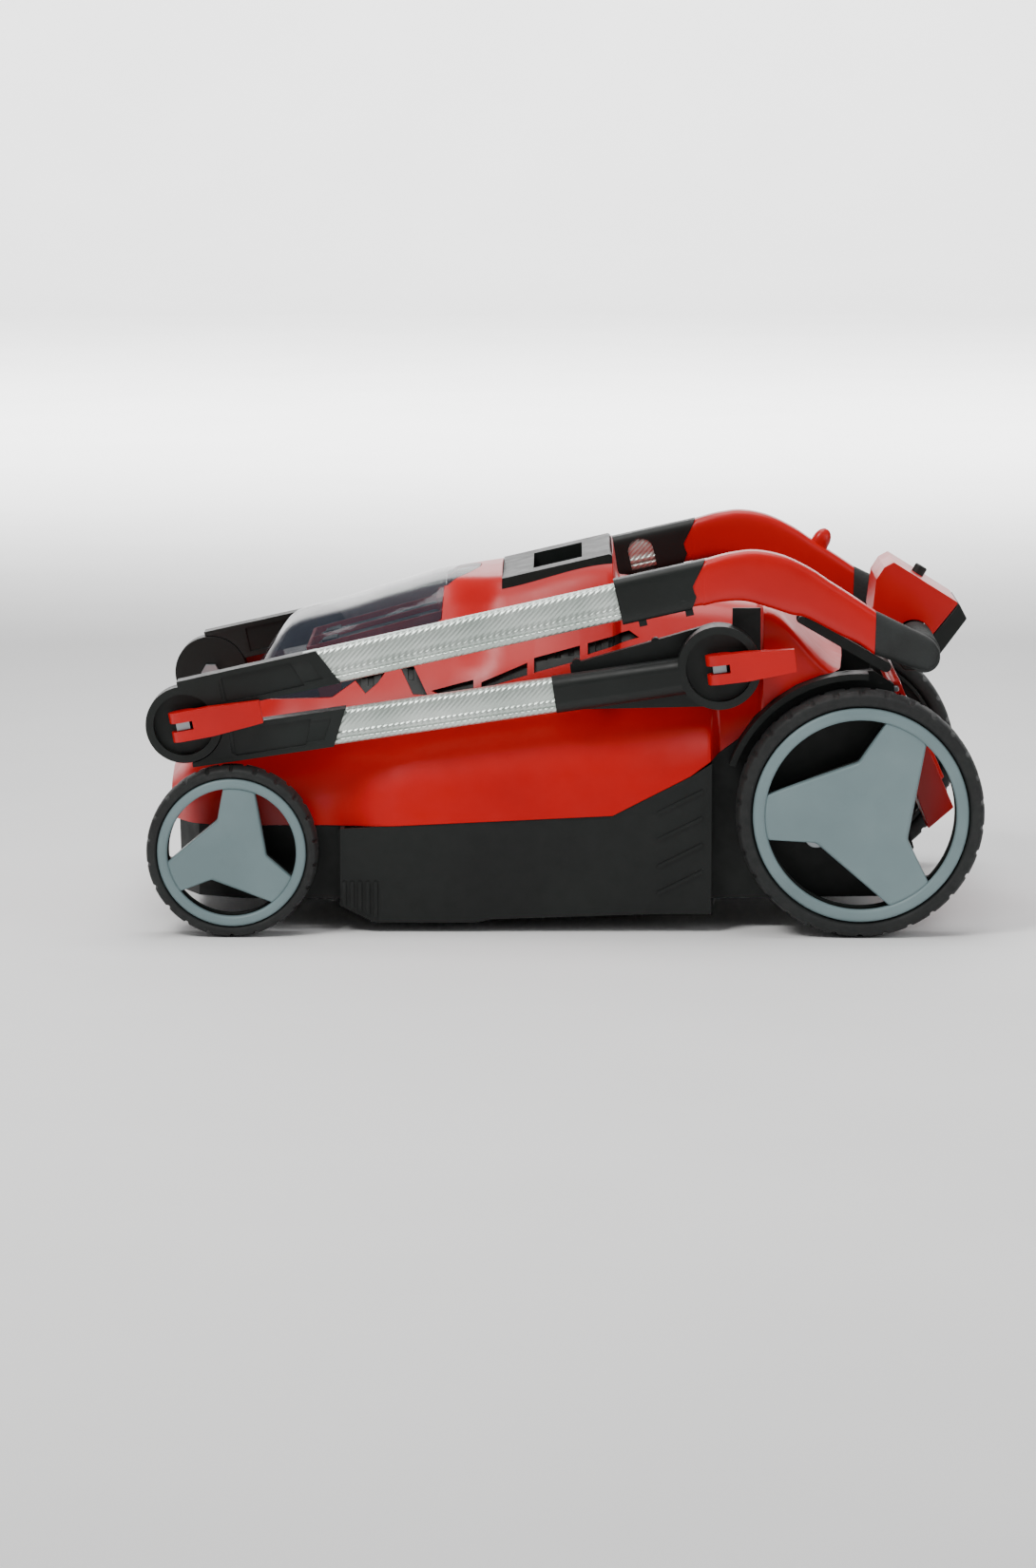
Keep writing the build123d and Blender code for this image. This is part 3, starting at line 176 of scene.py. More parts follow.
def grip_foam():
    """Soft-touch thermoplastic rubber sleeve with an open dimpled skin of 1.5 mm cells."""
    material, tree, shader, place = begin("foamed_rubber_grip")
    tree.links.new(vary(tree, place, "141716", "1E2221", 40.0), shader.inputs["Base Color"])
    shader.inputs["Roughness"].default_value = 0.68
    cells = add(tree, "ShaderNodeTexVoronoi", {"Scale": 650.0}, {"Vector": place})
    tree.links.new(bump(tree, cells.outputs["Distance"], 0.00025, 0.8), shader.inputs["Normal"])
    return material


def anodised_aluminium():
    """Extruded, clear-anodised aluminium: pale satin metal drawn lengthwise, with fine diagonal embossing."""
    material, tree, shader, place = begin("anodised_aluminium_extruded")
    tree.links.new(vary(tree, place, "B9C4BD", "D2DAD4", 22.0), shader.inputs["Base Color"])
    shader.inputs["Metallic"].default_value = 0.75
    tree.links.new(rough(tree, place, 90.0, 0.30, 0.42), shader.inputs["Roughness"])
    tilted = add(tree, "ShaderNodeMapping", {"Rotation": (0.0, radians(-42), 0.0)}, {"Vector": place})
    hatch = add(tree, "ShaderNodeTexWave", {"Scale": 95.0, "bands_direction": "X", "Distortion": 0.6,
                                            "Detail": 1.0}, {"Vector": tilted.outputs["Vector"]})
    drawn = add(tree, "ShaderNodeMapping", {"Rotation": (0.0, radians(10.5), 0.0), "Scale": (4.0, 900.0, 900.0)},
                {"Vector": place})
    lines = add(tree, "ShaderNodeTexNoise", {"Scale": 1.0, "Detail": 2.0}, {"Vector": drawn.outputs["Vector"]})
    first = bump(tree, lines.outputs["Fac"], 0.00003, 0.5)
    tree.links.new(bump(tree, hatch.outputs["Fac"], 0.0004, 0.6, first), shader.inputs["Normal"])
    return material


def plated_steel():
    """Zinc-plated steel: cool grey metal with fine turning marks and cloudy roughness."""
    material, tree, shader, place = begin("zinc_plated_steel")
    tree.links.new(vary(tree, place, "8E9498", "ABB0B2", 50.0), shader.inputs["Base Color"])
    shader.inputs["Metallic"].default_value = 1.0
    tree.links.new(rough(tree, place, 200.0, 0.28, 0.45), shader.inputs["Roughness"])
    marks = add(tree, "ShaderNodeTexNoise", {"Scale": 900.0, "Detail": 2.0}, {"Vector": place})
    tree.links.new(bump(tree, marks.outputs["Fac"], 0.00002, 0.5), shader.inputs["Normal"])
    return material


def blade_steel():
    """Ground spring steel: straight grinding marks across a dark grey blade."""
    material, tree, shader, place = begin("ground_spring_steel")
    tree.links.new(vary(tree, place, "6F7477", "8B9092", 35.0), shader.inputs["Base Color"])
    shader.inputs["Metallic"].default_value = 1.0
    shader.inputs["Roughness"].default_value = 0.34
    across = add(tree, "ShaderNodeMapping", {"Scale": (900.0, 12.0, 12.0)}, {"Vector": place})
    marks = add(tree, "ShaderNodeTexNoise", {"Scale": 1.0, "Detail": 3.0}, {"Vector": across.outputs["Vector"]})
    tree.links.new(bump(tree, marks.outputs["Fac"], 0.00004, 0.7), shader.inputs["Normal"])
    return material


def smoked_polycarbonate():
    """Smoked clear polycarbonate: see-through, grey-blue, with a moulded sheen."""
    material, tree, shader, place = begin("smoked_polycarbonate")
    tree.links.new(vary(tree, place, "2E333E", "3A404C", 12.0), shader.inputs["Base Color"])
    shader.inputs["Roughness"].default_value = 0.07
    shader.inputs["IOR"].default_value = 1.585
    shader.inputs["Alpha"].default_value = 0.42
    swell = add(tree, "ShaderNodeTexNoise", {"Scale": 60.0, "Detail": 1.0}, {"Vector": place})
    tree.links.new(bump(tree, swell.outputs["Fac"], 0.0001, 0.4), shader.inputs["Normal"])
    return material


finishes = {
    "red_plastic": red_abs(),
    "bay_plastic": bay_abs(),
    "key_plastic": red_abs(),
    "black_plastic": black_pp(),
    "battery_plastic": black_pp(),
    "soft_grip": grip_foam(),
    "grey_plastic": wheel_grey(),
    "tyre": tyre_rubber(),
    "aluminium": anodised_aluminium(),
    "steel": plated_steel(),
    "smoked_window": smoked_polycarbonate(),
}
deck_finish = deck_pp()
blade_finish = blade_steel()


# ---------------------------------------------------------------- pieces
def placed(name, data):
    """A new object for a mesh, lamp or camera, linked to the scene."""
    obj = bpy.data.objects.new(name, data)
    bpy.context.scene.collection.objects.link(obj)
    return obj


def outward(mesh):
    """Turns the faces of a closed mesh outwards."""
    work = bmesh.new()
    work.from_mesh(mesh)
    bmesh.ops.recalc_face_normals(work, faces=work.faces)
    work.to_mesh(mesh)
    work.free()


def settle(obj, node_names, material, smooth=30.0):
    """A finished piece stands for its CAD nodes, rides on their body and takes its finish."""
    obj.data.materials.clear()
    obj.data.materials.append(material)
    obj.data.shade_smooth()
    obj.data.set_sharp_from_angle(angle=radians(smooth))
    first = node_names[0]
    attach(obj, body_of_node[first])
    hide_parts(*node_names)
    return obj


def softened(name, radius_mm, finish, cuts):
    """A merged copy of a CAD node, less the cuts, its edges rounded by a bevel of a real radius in millimetres."""
    mesh = nodes[name].data.copy()
    work = bmesh.new()
    work.from_mesh(mesh)
    bmesh.ops.remove_doubles(work, verts=work.verts, dist=CAD_WELD)
    bmesh.ops.dissolve_limit(work, angle_limit=FLAT_ANGLE, verts=work.verts, edges=work.edges)
    work.to_mesh(mesh)
    work.free()
    obj = placed(name + "_soft", mesh)
    for outline, y0, y1 in cuts:
        carve(obj, prism(outline, y0, y1), "DIFFERENCE")
    edge = obj.modifiers.new("edge", "BEVEL")
    edge.width = radius_mm * MM
    edge.segments = 3 if radius_mm > 1.0 else 2
    edge.limit_method = "ANGLE"
    edge.angle_limit = EDGE_ANGLE
    edge.use_clamp_overlap = True
    return settle(obj, [name], finish)


# ---------------------------------------------------------------- surfaces worked out with numpy
def grid_object(name, points, close_u=False, close_v=True, cap=False):
    """A mesh of quads over a grid of points (u, v, 3). cap fans the first and last row to their middles."""
    rows, columns = points.shape[:2]
    index = np.arange(rows * columns).reshape(rows, columns)
    lower = index if close_u else index[:-1]
    upper = np.roll(index, -1, axis=0) if close_u else index[1:]
    if close_v:
        quads = np.stack([lower, np.roll(lower, -1, axis=1), np.roll(upper, -1, axis=1), upper], axis=-1)
    else:
        quads = np.stack([lower[:, :-1], lower[:, 1:], upper[:, 1:], upper[:, :-1]], axis=-1)
    faces = quads.reshape(-1, 4).tolist()
    verts = points.reshape(-1, 3)
    if cap:
        centres = np.array([points[0].mean(axis=0), points[-1].mean(axis=0)])
        count = len(verts)
        verts = np.concatenate([verts, centres])
        first, last = index[0], index[-1]
        faces += np.stack([np.roll(first, -1), first, np.full(columns, count)], axis=-1).tolist()
        faces += np.stack([last, np.roll(last, -1), np.full(columns, count + 1)], axis=-1).tolist()
    mesh = bpy.data.meshes.new(name)
    mesh.from_pydata(verts.tolist(), [], faces)
    work = bmesh.new()
    work.from_mesh(mesh)
    bmesh.ops.remove_doubles(work, verts=work.verts, dist=GRID_WELD)
    bmesh.ops.recalc_face_normals(work, faces=work.faces)
    work.to_mesh(mesh)
    work.free()
    return placed(name, mesh)


def smooth_path(points, count):
    """Points along a Catmull-Rom curve through the given ones, evenly spread over its spans."""
    p = np.asarray(points, float)
    p = np.concatenate([[2 * p[0] - p[1]], p, [2 * p[-1] - p[-2]]])
    t = np.linspace(0, len(p) - 3 - 1e-9, count)
    i = t.astype(int)
    f = (t - i)[:, None]
    a, b, c, d = p[i], p[i + 1], p[i + 2], p[i + 3]
    return 0.5 * (2 * b + (c - a) * f + (2 * a - 5 * b + 4 * c - d) * f ** 2 + (3 * b - a - 3 * c + d) * f ** 3)


def oblong(half_width, half_height, power, count):
    """A closed superellipse: |w/W|^n + |h/H|^n = 1, as (w, h) pairs."""
    t = np.linspace(0, 2 * pi, count, endpoint=False)
    w = np.sign(np.cos(t)) * np.abs(np.cos(t)) ** (2 / power) * half_width
    h = np.sign(np.sin(t)) * np.abs(np.sin(t)) ** (2 / power) * half_height
    return w, h


def revolved(name, centre, radii, ys, turns, shape=None):
    """A closed profile of (radius, y) carried round an axis along Y. shape(angle, radius, y) adds to the radius."""
    angle = np.linspace(0, 2 * pi, turns, endpoint=False)[:, None]
    r = np.broadcast_to(np.asarray(radii, float)[None, :], (turns, len(radii))).copy()
    y = np.broadcast_to(np.asarray(ys, float)[None, :], r.shape)
    if shape is not None:
        r = r + shape(angle, r, y)
    x = centre[0] + r * np.cos(angle)
    z = centre[1] + r * np.sin(angle)
    return grid_object(name, np.stack([x, y, z], axis=-1), close_u=True)


# ---------------------------------------------------------------- wheels
def middle_xz(node):
    """The middle of a node's box, seen from the side."""
    low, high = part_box(node)
    return ((low[0] + high[0]) / 2, (low[2] + high[2]) / 2)


def make_tyre(node, height, blocks):
    """Tyre: a rounded-square profile, with staggered tread notches cut as smooth dips in the radius."""
    low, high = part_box(node)
    radius = (high[2] - low[2]) / 2
    centre = middle_xz(node)
    y_mid, half = (low[1] + high[1]) / 2, (high[1] - low[1]) / 2
    lap, power, count = 0.0006, 3.6, 36
    w, h = oblong(half, height / 2 + lap, power, count)
    radii = radius - height + height / 2 + h
    notch_depth, wear = 0.0017, 0.0006

    def tread(angle, r, y):
        """Dips 1.7 mm deep in the outer face, half a pitch apart on the two shoulders."""
        outward = np.clip((r - (radius - 0.004)) / 0.003, 0, 1)
        across = (y - y_mid) / half
        phase = angle * blocks / (2 * pi) + np.where(across > 0, 0.5, 0.0)
        gap = np.abs((phase % 1.0) - 0.5)
        notch = np.clip((0.09 - gap) / 0.03, 0, 1)
        land = np.clip((np.abs(across) - 0.18) / 0.12, 0, 1)
        return -notch_depth * notch * land * outward - wear * outward

    obj = revolved(node + "_tread", centre, radii, y_mid + w, turns=480, shape=tread)
    return settle(obj, [node], finishes["tyre"], 40)


def window_outline(ring, corner, half_span, phase, swirl, count):
    """Outer limit of the spider as (radius, angle) round the wheel: out to the ring on the spokes, and in along
    two straight edges at each opening."""
    corners = []
    for i in range(3):
        turn = radians(phase + 120 * i)
        a0, a1 = turn - radians(half_span), turn + radians(half_span)
        inner = turn - radians(swirl)
        corners += [(ring, a0), (corner, inner), (ring, a1)]
        spoke = np.linspace(a1, a1 + radians(120 - 2 * half_span), 6)[1:-1]
        corners += [(ring, a) for a in spoke]
    xy = np.array([(r * cos(a), r * sin(a)) for r, a in corners])
    closed = np.concatenate([xy, xy[:1]])
    steps = np.concatenate([[0], np.cumsum(np.hypot(*np.diff(closed, axis=0).T))])
    s = np.linspace(0, steps[-1], count, endpoint=False)
    x = np.interp(s, steps, closed[:, 0])
    z = np.interp(s, steps, closed[:, 1])
    kernel = np.array([1, 2, 3, 2, 1]) / 9.0
    padded_x = np.concatenate([x[-2:], x, x[:2]])
    padded_z = np.concatenate([z[-2:], z, z[:2]])
    return np.convolve(padded_x, kernel, "valid"), np.convolve(padded_z, kernel, "valid")


def make_trim(node, side, ring, corner, half_span, phase):
    """Wheel trim: a dished three-armed spider, every edge rounded, inside a half-round rim."""
    low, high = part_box(node)
    centre = middle_xz(node)
    rim = (high[2] - low[2]) / 2
    face = high[1] if side > 0 else low[1]
    swirl, count = 29.0, 420
    ex, ez = window_outline(ring, corner, half_span, phase, swirl, count)
    reach = np.hypot(ex, ez)
    edge_round, depth = 0.0038, 0.0085
    dish_depth, set_back = 0.0032, 0.0012
    hub_rise, hub_share = 0.0016, 0.42
    lap, rim_depth = 0.0008, 0.0045
    front = np.concatenate([np.linspace(0.02, 0.9, 16), np.linspace(0.92, 1.0, 9)])
    fraction = np.concatenate([front, [1.0, 0.9, 0.02]])
    r = fraction[None, :] * reach[:, None]
    inside = reach[:, None] - r
    roll = edge_round - np.sqrt(np.clip(edge_round ** 2 - np.clip(edge_round - inside, 0, None) ** 2, 0, None))
    dish = dish_depth * np.cos(np.clip(r / ring, 0, 1) * pi / 2) + set_back
    hub = hub_rise * np.clip(1 - r / (corner * hub_share), 0, 1) ** 0.5
    drop = dish + roll - hub
    drop[:, len(front):] = dish[:, len(front):] + depth
    x = centre[0] + fraction[None, :] * ex[:, None]
    z = centre[1] + fraction[None, :] * ez[:, None]
    y = face - side * drop
    spider = grid_object(node + "_spider", np.stack([x, y, z], axis=-1), close_u=True, close_v=False)
    close_poles(spider)
    w, h = oblong((rim - ring) / 2 + lap, rim_depth, 3.0, 28)
    ring_piece = revolved(node + "_rim", centre, (rim + ring) / 2 - lap + w, face - side * rim_depth + h, turns=180)
    return join([spider, ring_piece], node + "_molded", [node], finishes["grey_plastic"], 28)


def close_poles(obj):
    """Fills the small holes left at the two middles of a polar grid, and turns all faces outwards."""
    work = bmesh.new()
    work.from_mesh(obj.data)
    bmesh.ops.holes_fill(work, edges=[edge for edge in work.edges if edge.is_boundary], sides=0)
    bmesh.ops.recalc_face_normals(work, faces=work.faces)
    work.to_mesh(obj.data)
    work.free()


def join(parts, name, node_names, material, smooth):
    """Several closed shells in one mesh, settled as one piece."""
    work = bmesh.new()
    for part in parts:
        work.from_mesh(part.data)
    mesh = bpy.data.meshes.new(name)
    work.to_mesh(mesh)
    work.free()
    for part in parts:
        bpy.data.objects.remove(part)
    return settle(placed(name, mesh), node_names, material, smooth)


for side_name, side in SIDES:
    make_tyre("front_tyre_" + side_name, 0.0100, 22)
    make_tyre("rear_tyre_" + side_name, 0.0145, 30)
    make_trim("front_trim_" + side_name, side, 0.0585, 0.0310, 46.0, 23)
    make_trim("rear_trim_" + side_name, side, 0.0860, 0.0470, 46.5, 1.5)


# ---------------------------------------------------------------- handle tubes and arms
UPPER_DEGREES, LOWER_DEGREES = 12.6, 8.479
upper_slope, lower_slope = radians(UPPER_DEGREES), radians(LOWER_DEGREES)
UPPER_HEIGHT, LOWER_HEIGHT = 0.033, 0.031
BORE_WIDE, BORE_HIGH = 0.82, 0.86


def make_tube(node, slope, height, grooves):
    """Extruded tube: a rounded oblong section carried along a straight line, with lengthwise grooves in both faces.
    The face is drawn in by a sum of narrow bells, one at each groove's height."""
    low, high = [np.array(corner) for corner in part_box(node)]
    half_w = (high[1] - low[1]) / 2
    length = (high[0] - low[0] - height * sin(slope)) / cos(slope)
    middle = (low + high) / 2
    along = np.array([cos(slope), 0, sin(slope)])
    up = np.array([-sin(slope), 0, cos(slope)])
    w, h = oblong(half_w, height / 2, 4.4, 160)
    sink = sum(depth * np.exp(-((h - place) / wide) ** 2) for place, wide, depth in grooves)
    w = w - np.sign(w) * sink * np.clip(np.abs(w) / half_w, 0, 1)
    s = np.linspace(-length / 2, length / 2, 24)
    outer = middle + s[:, None, None] * along + w[None, :, None] * np.array([0, 1.0, 0]) + h[None, :, None] * up
    inner = middle + s[:, None, None] * along + BORE_WIDE * w[None, :, None] * np.array([0, 1.0, 0])
    inner = inner + BORE_HIGH * h[None, :, None] * up
    loop = np.concatenate([outer, inner[::-1]], axis=0)
    obj = grid_object(node + "_extrusion", loop, close_u=True)
    return settle(obj, [node], finishes["aluminium"], 50)


tube_grooves = [(0.0016, 0.0011, 0.0019), (-0.0034, 0.0009, 0.0013), (-0.0095, 0.0009, 0.0013)]
for side_name in ("left", "right"):
    make_tube("upper_tube_" + side_name, upper_slope, UPPER_HEIGHT, tube_grooves)
    make_tube("lower_tube_" + side_name, lower_slope, LOWER_HEIGHT, tube_grooves)


def make_bar_shape(name, tops, bottoms, y, half_w, power, count, end_round=0.0, tuck=0.0):
    """A moulded arm: at each step a superellipse stands between a point of the upper curve and its partner on the
    lower curve, so the section swells and narrows with the outline. end_round narrows it towards the far end, and
    tuck draws in the share of it that stands inside its neighbour."""
    upper = smooth_path(tops, count)
    lower = smooth_path(bottoms, count)
    middle = (upper + lower) / 2
    reach = (upper - lower) / 2
    t = np.linspace(0, 1, count)
    shrink = np.sqrt(np.clip(1 - (np.clip((t - (1 - end_round)) / max(end_round, 1e-6), 0, 1)) ** 2.4, 0.0, 1))
    shrink = np.where(t > 1 - end_round, np.maximum(shrink, 0.05), 1.0)
    if tuck:
        shrink = shrink * (1 - 0.07 * np.clip(1 - t / tuck, 0, 1) ** 0.25)
    w, h = oblong(half_w, 1.0, power, 56)
    x = middle[:, 0:1] + reach[:, 0:1] * h[None, :] * shrink[:, None]
    z = middle[:, 1:2] + reach[:, 1:2] * h[None, :] * shrink[:, None]
    ys = y + w[None, :] * np.where(t < max(tuck, 1e-6), shrink, 0.25 + 0.75 * shrink)[:, None]
    return grid_object(name, np.stack([x, ys, z], axis=-1), cap=True)


coupling_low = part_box("coupling_left")[0]
head_x, head_z = coupling_low[0] + 0.00447, 0.2966659
arm_top = [(50, 30), (64, 33.6), (78, 38), (90, 41.6), (101, 44), (116.7, 46), (134, 44.2), (150.5, 39.3),
           (170, 29.5), (186.6, 18.5), (207, 5.5), (227.1, -7.8)]
arm_bottom = [(56, -7.4), (66, -5.2), (77, -2.6), (90, 0.3), (111.5, 1.2), (133, -4.5), (151.7, -10.5),
              (165.1, -13.2), (181, -21), (197, -29.5), (212.9, -37), (226, -46.4)]
end_top = [(226.5, -7.6), (243, -15.6), (260, -23.9), (275.6, -31.6), (288, -38.6)]
end_bottom = [(225.5, -46.2), (238, -50.6), (252, -55.6), (268, -61.2), (280, -63.0)]


def from_head(points):
    """Points in millimetres from the coupling's start, as metres in the frame."""
    return [(head_x + dx * MM, head_z + dz * MM) for dx, dz in points]


for side_name in ("left", "right"):
    node = "handlebar_arm_" + side_name
    low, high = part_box(node)
    y, half_w = (low[1] + high[1]) / 2, (high[1] - low[1]) / 2
    arm = make_bar_shape(node + "_molded", from_head(arm_top), from_head(arm_bottom), y, half_w, 4.6, 130,
                         tuck=0.17)
    settle(arm, [node], finishes["red_plastic"], 60)


def make_boss():
    """Red locking knob on the far arm: a rounded dome on a short block, standing on the arm's upper edge."""
    low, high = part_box("handlebar_arm_right")
    y = (low[1] + high[1]) / 2
    t = np.linspace(0, 1, 40)
    spread = 0.0085 * np.clip(1 - (np.clip(t - 0.45, 0, 1) / 0.56) ** 2.2, 0, 1) ** 0.5
    foot = np.array([head_x + 0.1905, head_z + 0.0060])
    lean = np.array([sin(radians(28)), cos(radians(28))])
    flat = np.array([lean[1], -lean[0]])
    angle = np.linspace(0, 2 * pi, 48, endpoint=False)
    w, h = oblong(1.0, 1.0, 2.8, 48)
    centre = foot[None, :] + (t * 0.024)[:, None] * lean[None, :]
    x = centre[:, 0:1] + spread[:, None] * w[None, :] * flat[0]
    z = centre[:, 1:2] + spread[:, None] * w[None, :] * flat[1]
    ys = y + spread[:, None] * h[None, :] * 0.95
    boss = grid_object("arm_lock_knob", np.stack([x, ys, z], axis=-1), cap=True)
    boss.data.materials.append(finishes["red_plastic"])
    boss.data.shade_smooth()
    boss.data.set_sharp_from_angle(angle=radians(50))
    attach(boss, "handlebar")


make_boss()


def make_crossbar():
    """Padded crossbar: a round bar with a swollen, ribbed grip each side, and its two corner mouldings."""
    low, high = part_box("crossbar")
    centre = (head_x + 0.2701, head_z - 0.0478)
    ys = np.linspace(low[1] + 0.004, high[1] - 0.004, 260)
    reach = np.abs(ys)
    pad_start, pad_end, pad_slope = 0.056, 0.168, 0.004
    rib_depth, rib_pitch = 0.0005, 0.0065
    bar_radius, pad_rise = 0.0140, 0.0018
    pad = np.clip((reach - pad_start) / pad_slope, 0, 1) * np.clip((pad_end - reach) / pad_slope, 0, 1)
    ribs = rib_depth * np.cos(reach * 2 * pi / rib_pitch) * pad
    radius = bar_radius + pad_rise * pad + ribs
    angle = np.linspace(0, 2 * pi, 48, endpoint=False)
    x = centre[0] + radius[:, None] * np.cos(angle)[None, :]
    z = centre[1] + radius[:, None] * np.sin(angle)[None, :]
    y = np.broadcast_to(ys[:, None], x.shape)
    bar = grid_object("crossbar_bar", np.stack([x, y, z], axis=-1), cap=True)
    parts = [bar]
    for side in (LEFT, RIGHT):
        arm_low, arm_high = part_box("handlebar_arm_left" if side < 0 else "handlebar_arm_right")
        y, half_w = (arm_low[1] + arm_high[1]) / 2, (arm_high[1] - arm_low[1]) / 2
        parts.append(make_bar_shape("crossbar_corner", from_head(end_top), from_head(end_bottom), y,
                                    half_w - 0.0002, 3.2, 60, end_round=0.35))
    return join(parts, "crossbar_padded", ["crossbar"], finishes["soft_grip"], 50)


make_crossbar()


# ---------------------------------------------------------------- hood and battery lid
hood_stations = [
    (-355, 108, 84, 108, 112, 100, 124, 66, 134, 136),
    (-330, 150, 84, 150, 118, 138, 148, 78, 172, 175),
    (-290, 164, 84, 164, 128, 140, 172, 66, 206, 209),
    (-247, 164, 84, 164, 128, 140, 180, 62, 262, 264),
    (-212, 165, 84, 164, 130, 146, 186, 62, 272, 274),
    (-190, 172, 86, 166, 132, 147, 188, 62, 278, 280),
    (-168, 184, 90, 171, 134, 148, 191, 62, 285, 288),
    (-148, 188, 92, 176, 136, 149, 194, 62, 291, 294),
    (-107, 188, 94, 179, 138, 152, 200, 62, 302, 306),
    (-57, 188, 98, 180, 142, 152, 206, 92, 307, 313),
    (42, 188, 104, 180, 150, 152, 212, 95, 329, 333),
    (50, 188, 106, 180, 150, 152, 212, 97, 292, 296),
    (128, 188, 129, 182, 160, 152, 214, 100, 288, 293),
    (138, 164, 129, 164, 170, 152, 216, 101, 287, 292),
    (172, 164, 144, 164, 185, 152, 222, 106, 284, 290),
    (176, 164, 144, 164, 200, 164, 284, 146, 288, 293),
    (240, 164, 164, 164, 205, 164, 229, 146, 234, 238),
    (292, 164, 164, 164, 200, 164, 214, 146, 220, 222),
]


def monotone(x, knots, values):
    """Smooth interpolation that never overshoots: cubic Hermite spans with slopes limited by their neighbours."""
    h = np.diff(knots)
    d = np.diff(values) / h
    slope = np.zeros(len(knots))
    same = d[:-1] * d[1:] > 0
    w1, w2 = 2 * h[1:] + h[:-1], h[1:] + 2 * h[:-1]
    with np.errstate(divide="ignore", invalid="ignore"):
        mean = (w1 + w2) / (w1 / d[:-1] + w2 / d[1:])
    slope[1:-1] = np.where(same, mean, 0.0)
    slope[0], slope[-1] = d[0], d[-1]
    i = np.clip(np.searchsorted(knots, x) - 1, 0, len(knots) - 2)
    t = (x - knots[i]) / h[i]
    a = (1 + 2 * t) * (1 - t) ** 2 * values[i] + t * (1 - t) ** 2 * h[i] * slope[i]
    return a + t * t * (3 - 2 * t) * values[i + 1] + t * t * (t - 1) * h[i] * slope[i + 1]


def hood_solid(name, inset):
    """The hood's closed form: sections with rounded corners, their corner points carried smoothly along X."""
    table = np.array(hood_stations, float)
    front, rear = table[0, 0] + inset, table[-1, 0] - inset
    x = np.unique(np.concatenate([np.linspace(front, rear, 110), np.linspace(42, 50, 5), np.linspace(127, 139, 7),
                                  np.linspace(171, 177, 6)]))
    row = [monotone(x, table[:, 0], table[:, k]) for k in range(1, 10)]
    half, low, y1, z1, y2, z2, y3, z3, crown = row
    zero = np.zeros_like(x)
    corner_y = np.stack([half - inset, y1 - inset, y2 - inset, y3 - inset * 0.5, zero], axis=1)
    corner_z = np.stack([low - inset, z1, z2 - inset, z3 - inset, crown - inset], axis=1)
    cut = np.array([0.0, 0.30, 0.30, 0.22, 0.0])
    ys, zs = [corner_y[:, 0]], [corner_z[:, 0]]
    for k in (1, 2, 3):
        before_y = corner_y[:, k] + (corner_y[:, k - 1] - corner_y[:, k]) * cut[k]
        before_z = corner_z[:, k] + (corner_z[:, k - 1] - corner_z[:, k]) * cut[k]
        after_y = corner_y[:, k] + (corner_y[:, k + 1] - corner_y[:, k]) * cut[k]
        after_z = corner_z[:, k] + (corner_z[:, k + 1] - corner_z[:, k]) * cut[k]
        for t in np.linspace(0, 1, 9):
            ys.append((1 - t) ** 2 * before_y + 2 * t * (1 - t) * corner_y[:, k] + t * t * after_y)
            zs.append((1 - t) ** 2 * before_z + 2 * t * (1 - t) * corner_z[:, k] + t * t * after_z)
    ys.append(corner_y[:, 3] * 0.4)
    zs.append(corner_z[:, 3] + (corner_z[:, 4] - corner_z[:, 3]) * 0.75)
    right_y, right_z = np.stack(ys, axis=1), np.stack(zs, axis=1)
    loop_y = np.concatenate([right_y, zero[:, None], -right_y[:, ::-1]], axis=1)
    loop_z = np.concatenate([right_z, corner_z[:, 4:5], right_z[:, ::-1]], axis=1)
    loop_x = np.broadcast_to(x[:, None], loop_y.shape)
    return grid_object(name, np.stack([loop_x, loop_y, loop_z], axis=-1) * MM, cap=True)


def between(name, rings):
    """A closed prism between two rings of points in millimetres."""
    n = len(rings[0])
    sides = [(i, (i + 1) % n, n + (i + 1) % n, n + i) for i in range(n)]
    mesh = bpy.data.meshes.new(name)
    mesh.from_pydata((np.concatenate(rings) * MM).tolist(), [],
                     [tuple(range(n)), tuple(range(2 * n - 1, n - 1, -1))] + sides)
    outward(mesh)
    return placed(name, mesh)


def prism(outline, y0, y1):
    """A closed prism over an outline of (x, z) points in millimetres, from y0 to y1."""
    p = np.array(outline, float)
    return between("prism", [np.stack([p[:, 0], np.full(len(p), y), p[:, 1]], axis=-1) for y in (y0, y1)])


def carve(obj, tool, operation):
    """Applies one boolean with a tool, which is then removed."""
    step = obj.modifiers.new("step", "BOOLEAN")
    step.operation = operation
    step.solver = "EXACT"
    step.object = tool
    bpy.context.view_layer.update()
    result = bpy.data.meshes.new_from_object(obj.evaluated_get(bpy.context.evaluated_depsgraph_get()))
    obj.modifiers.clear()
    obj.data = result
    bpy.data.objects.remove(tool)
    return obj


def lid_outline(gap):
    """Side view of the battery lid, less a gap."""
    return [(-293 + gap, 199 + 2 * gap), (-209, 204 + gap), (-112 - gap, 270 + gap), (-107 - gap, 340),
            (-293 + gap, 340)]


def lid_bulge(gap):
    """The bowed middle of the lid's rear edge, as a closed prism with a round end, seen from above."""
    half_w, bow, rear_x, front_x = 62, 30, -77, -130
    y = np.linspace(-half_w + gap, half_w - gap, 25)
    bow_r = (half_w ** 2 + bow ** 2) / (2 * bow)
    x = rear_x - bow_r + np.sqrt((bow_r - gap) ** 2 - y ** 2)
    outline = np.array(list(zip(x, y)) + [(front_x, half_w - gap), (front_x, -half_w + gap)])
    return between("bulge", [np.column_stack([outline, np.full(len(outline), z)]) for z in (285, 345)])


def lid_tool(gap):
    """The whole zone of the lid as one cutting tool."""
    return carve(prism(lid_outline(gap), -200, 200), lid_bulge(gap), "UNION")


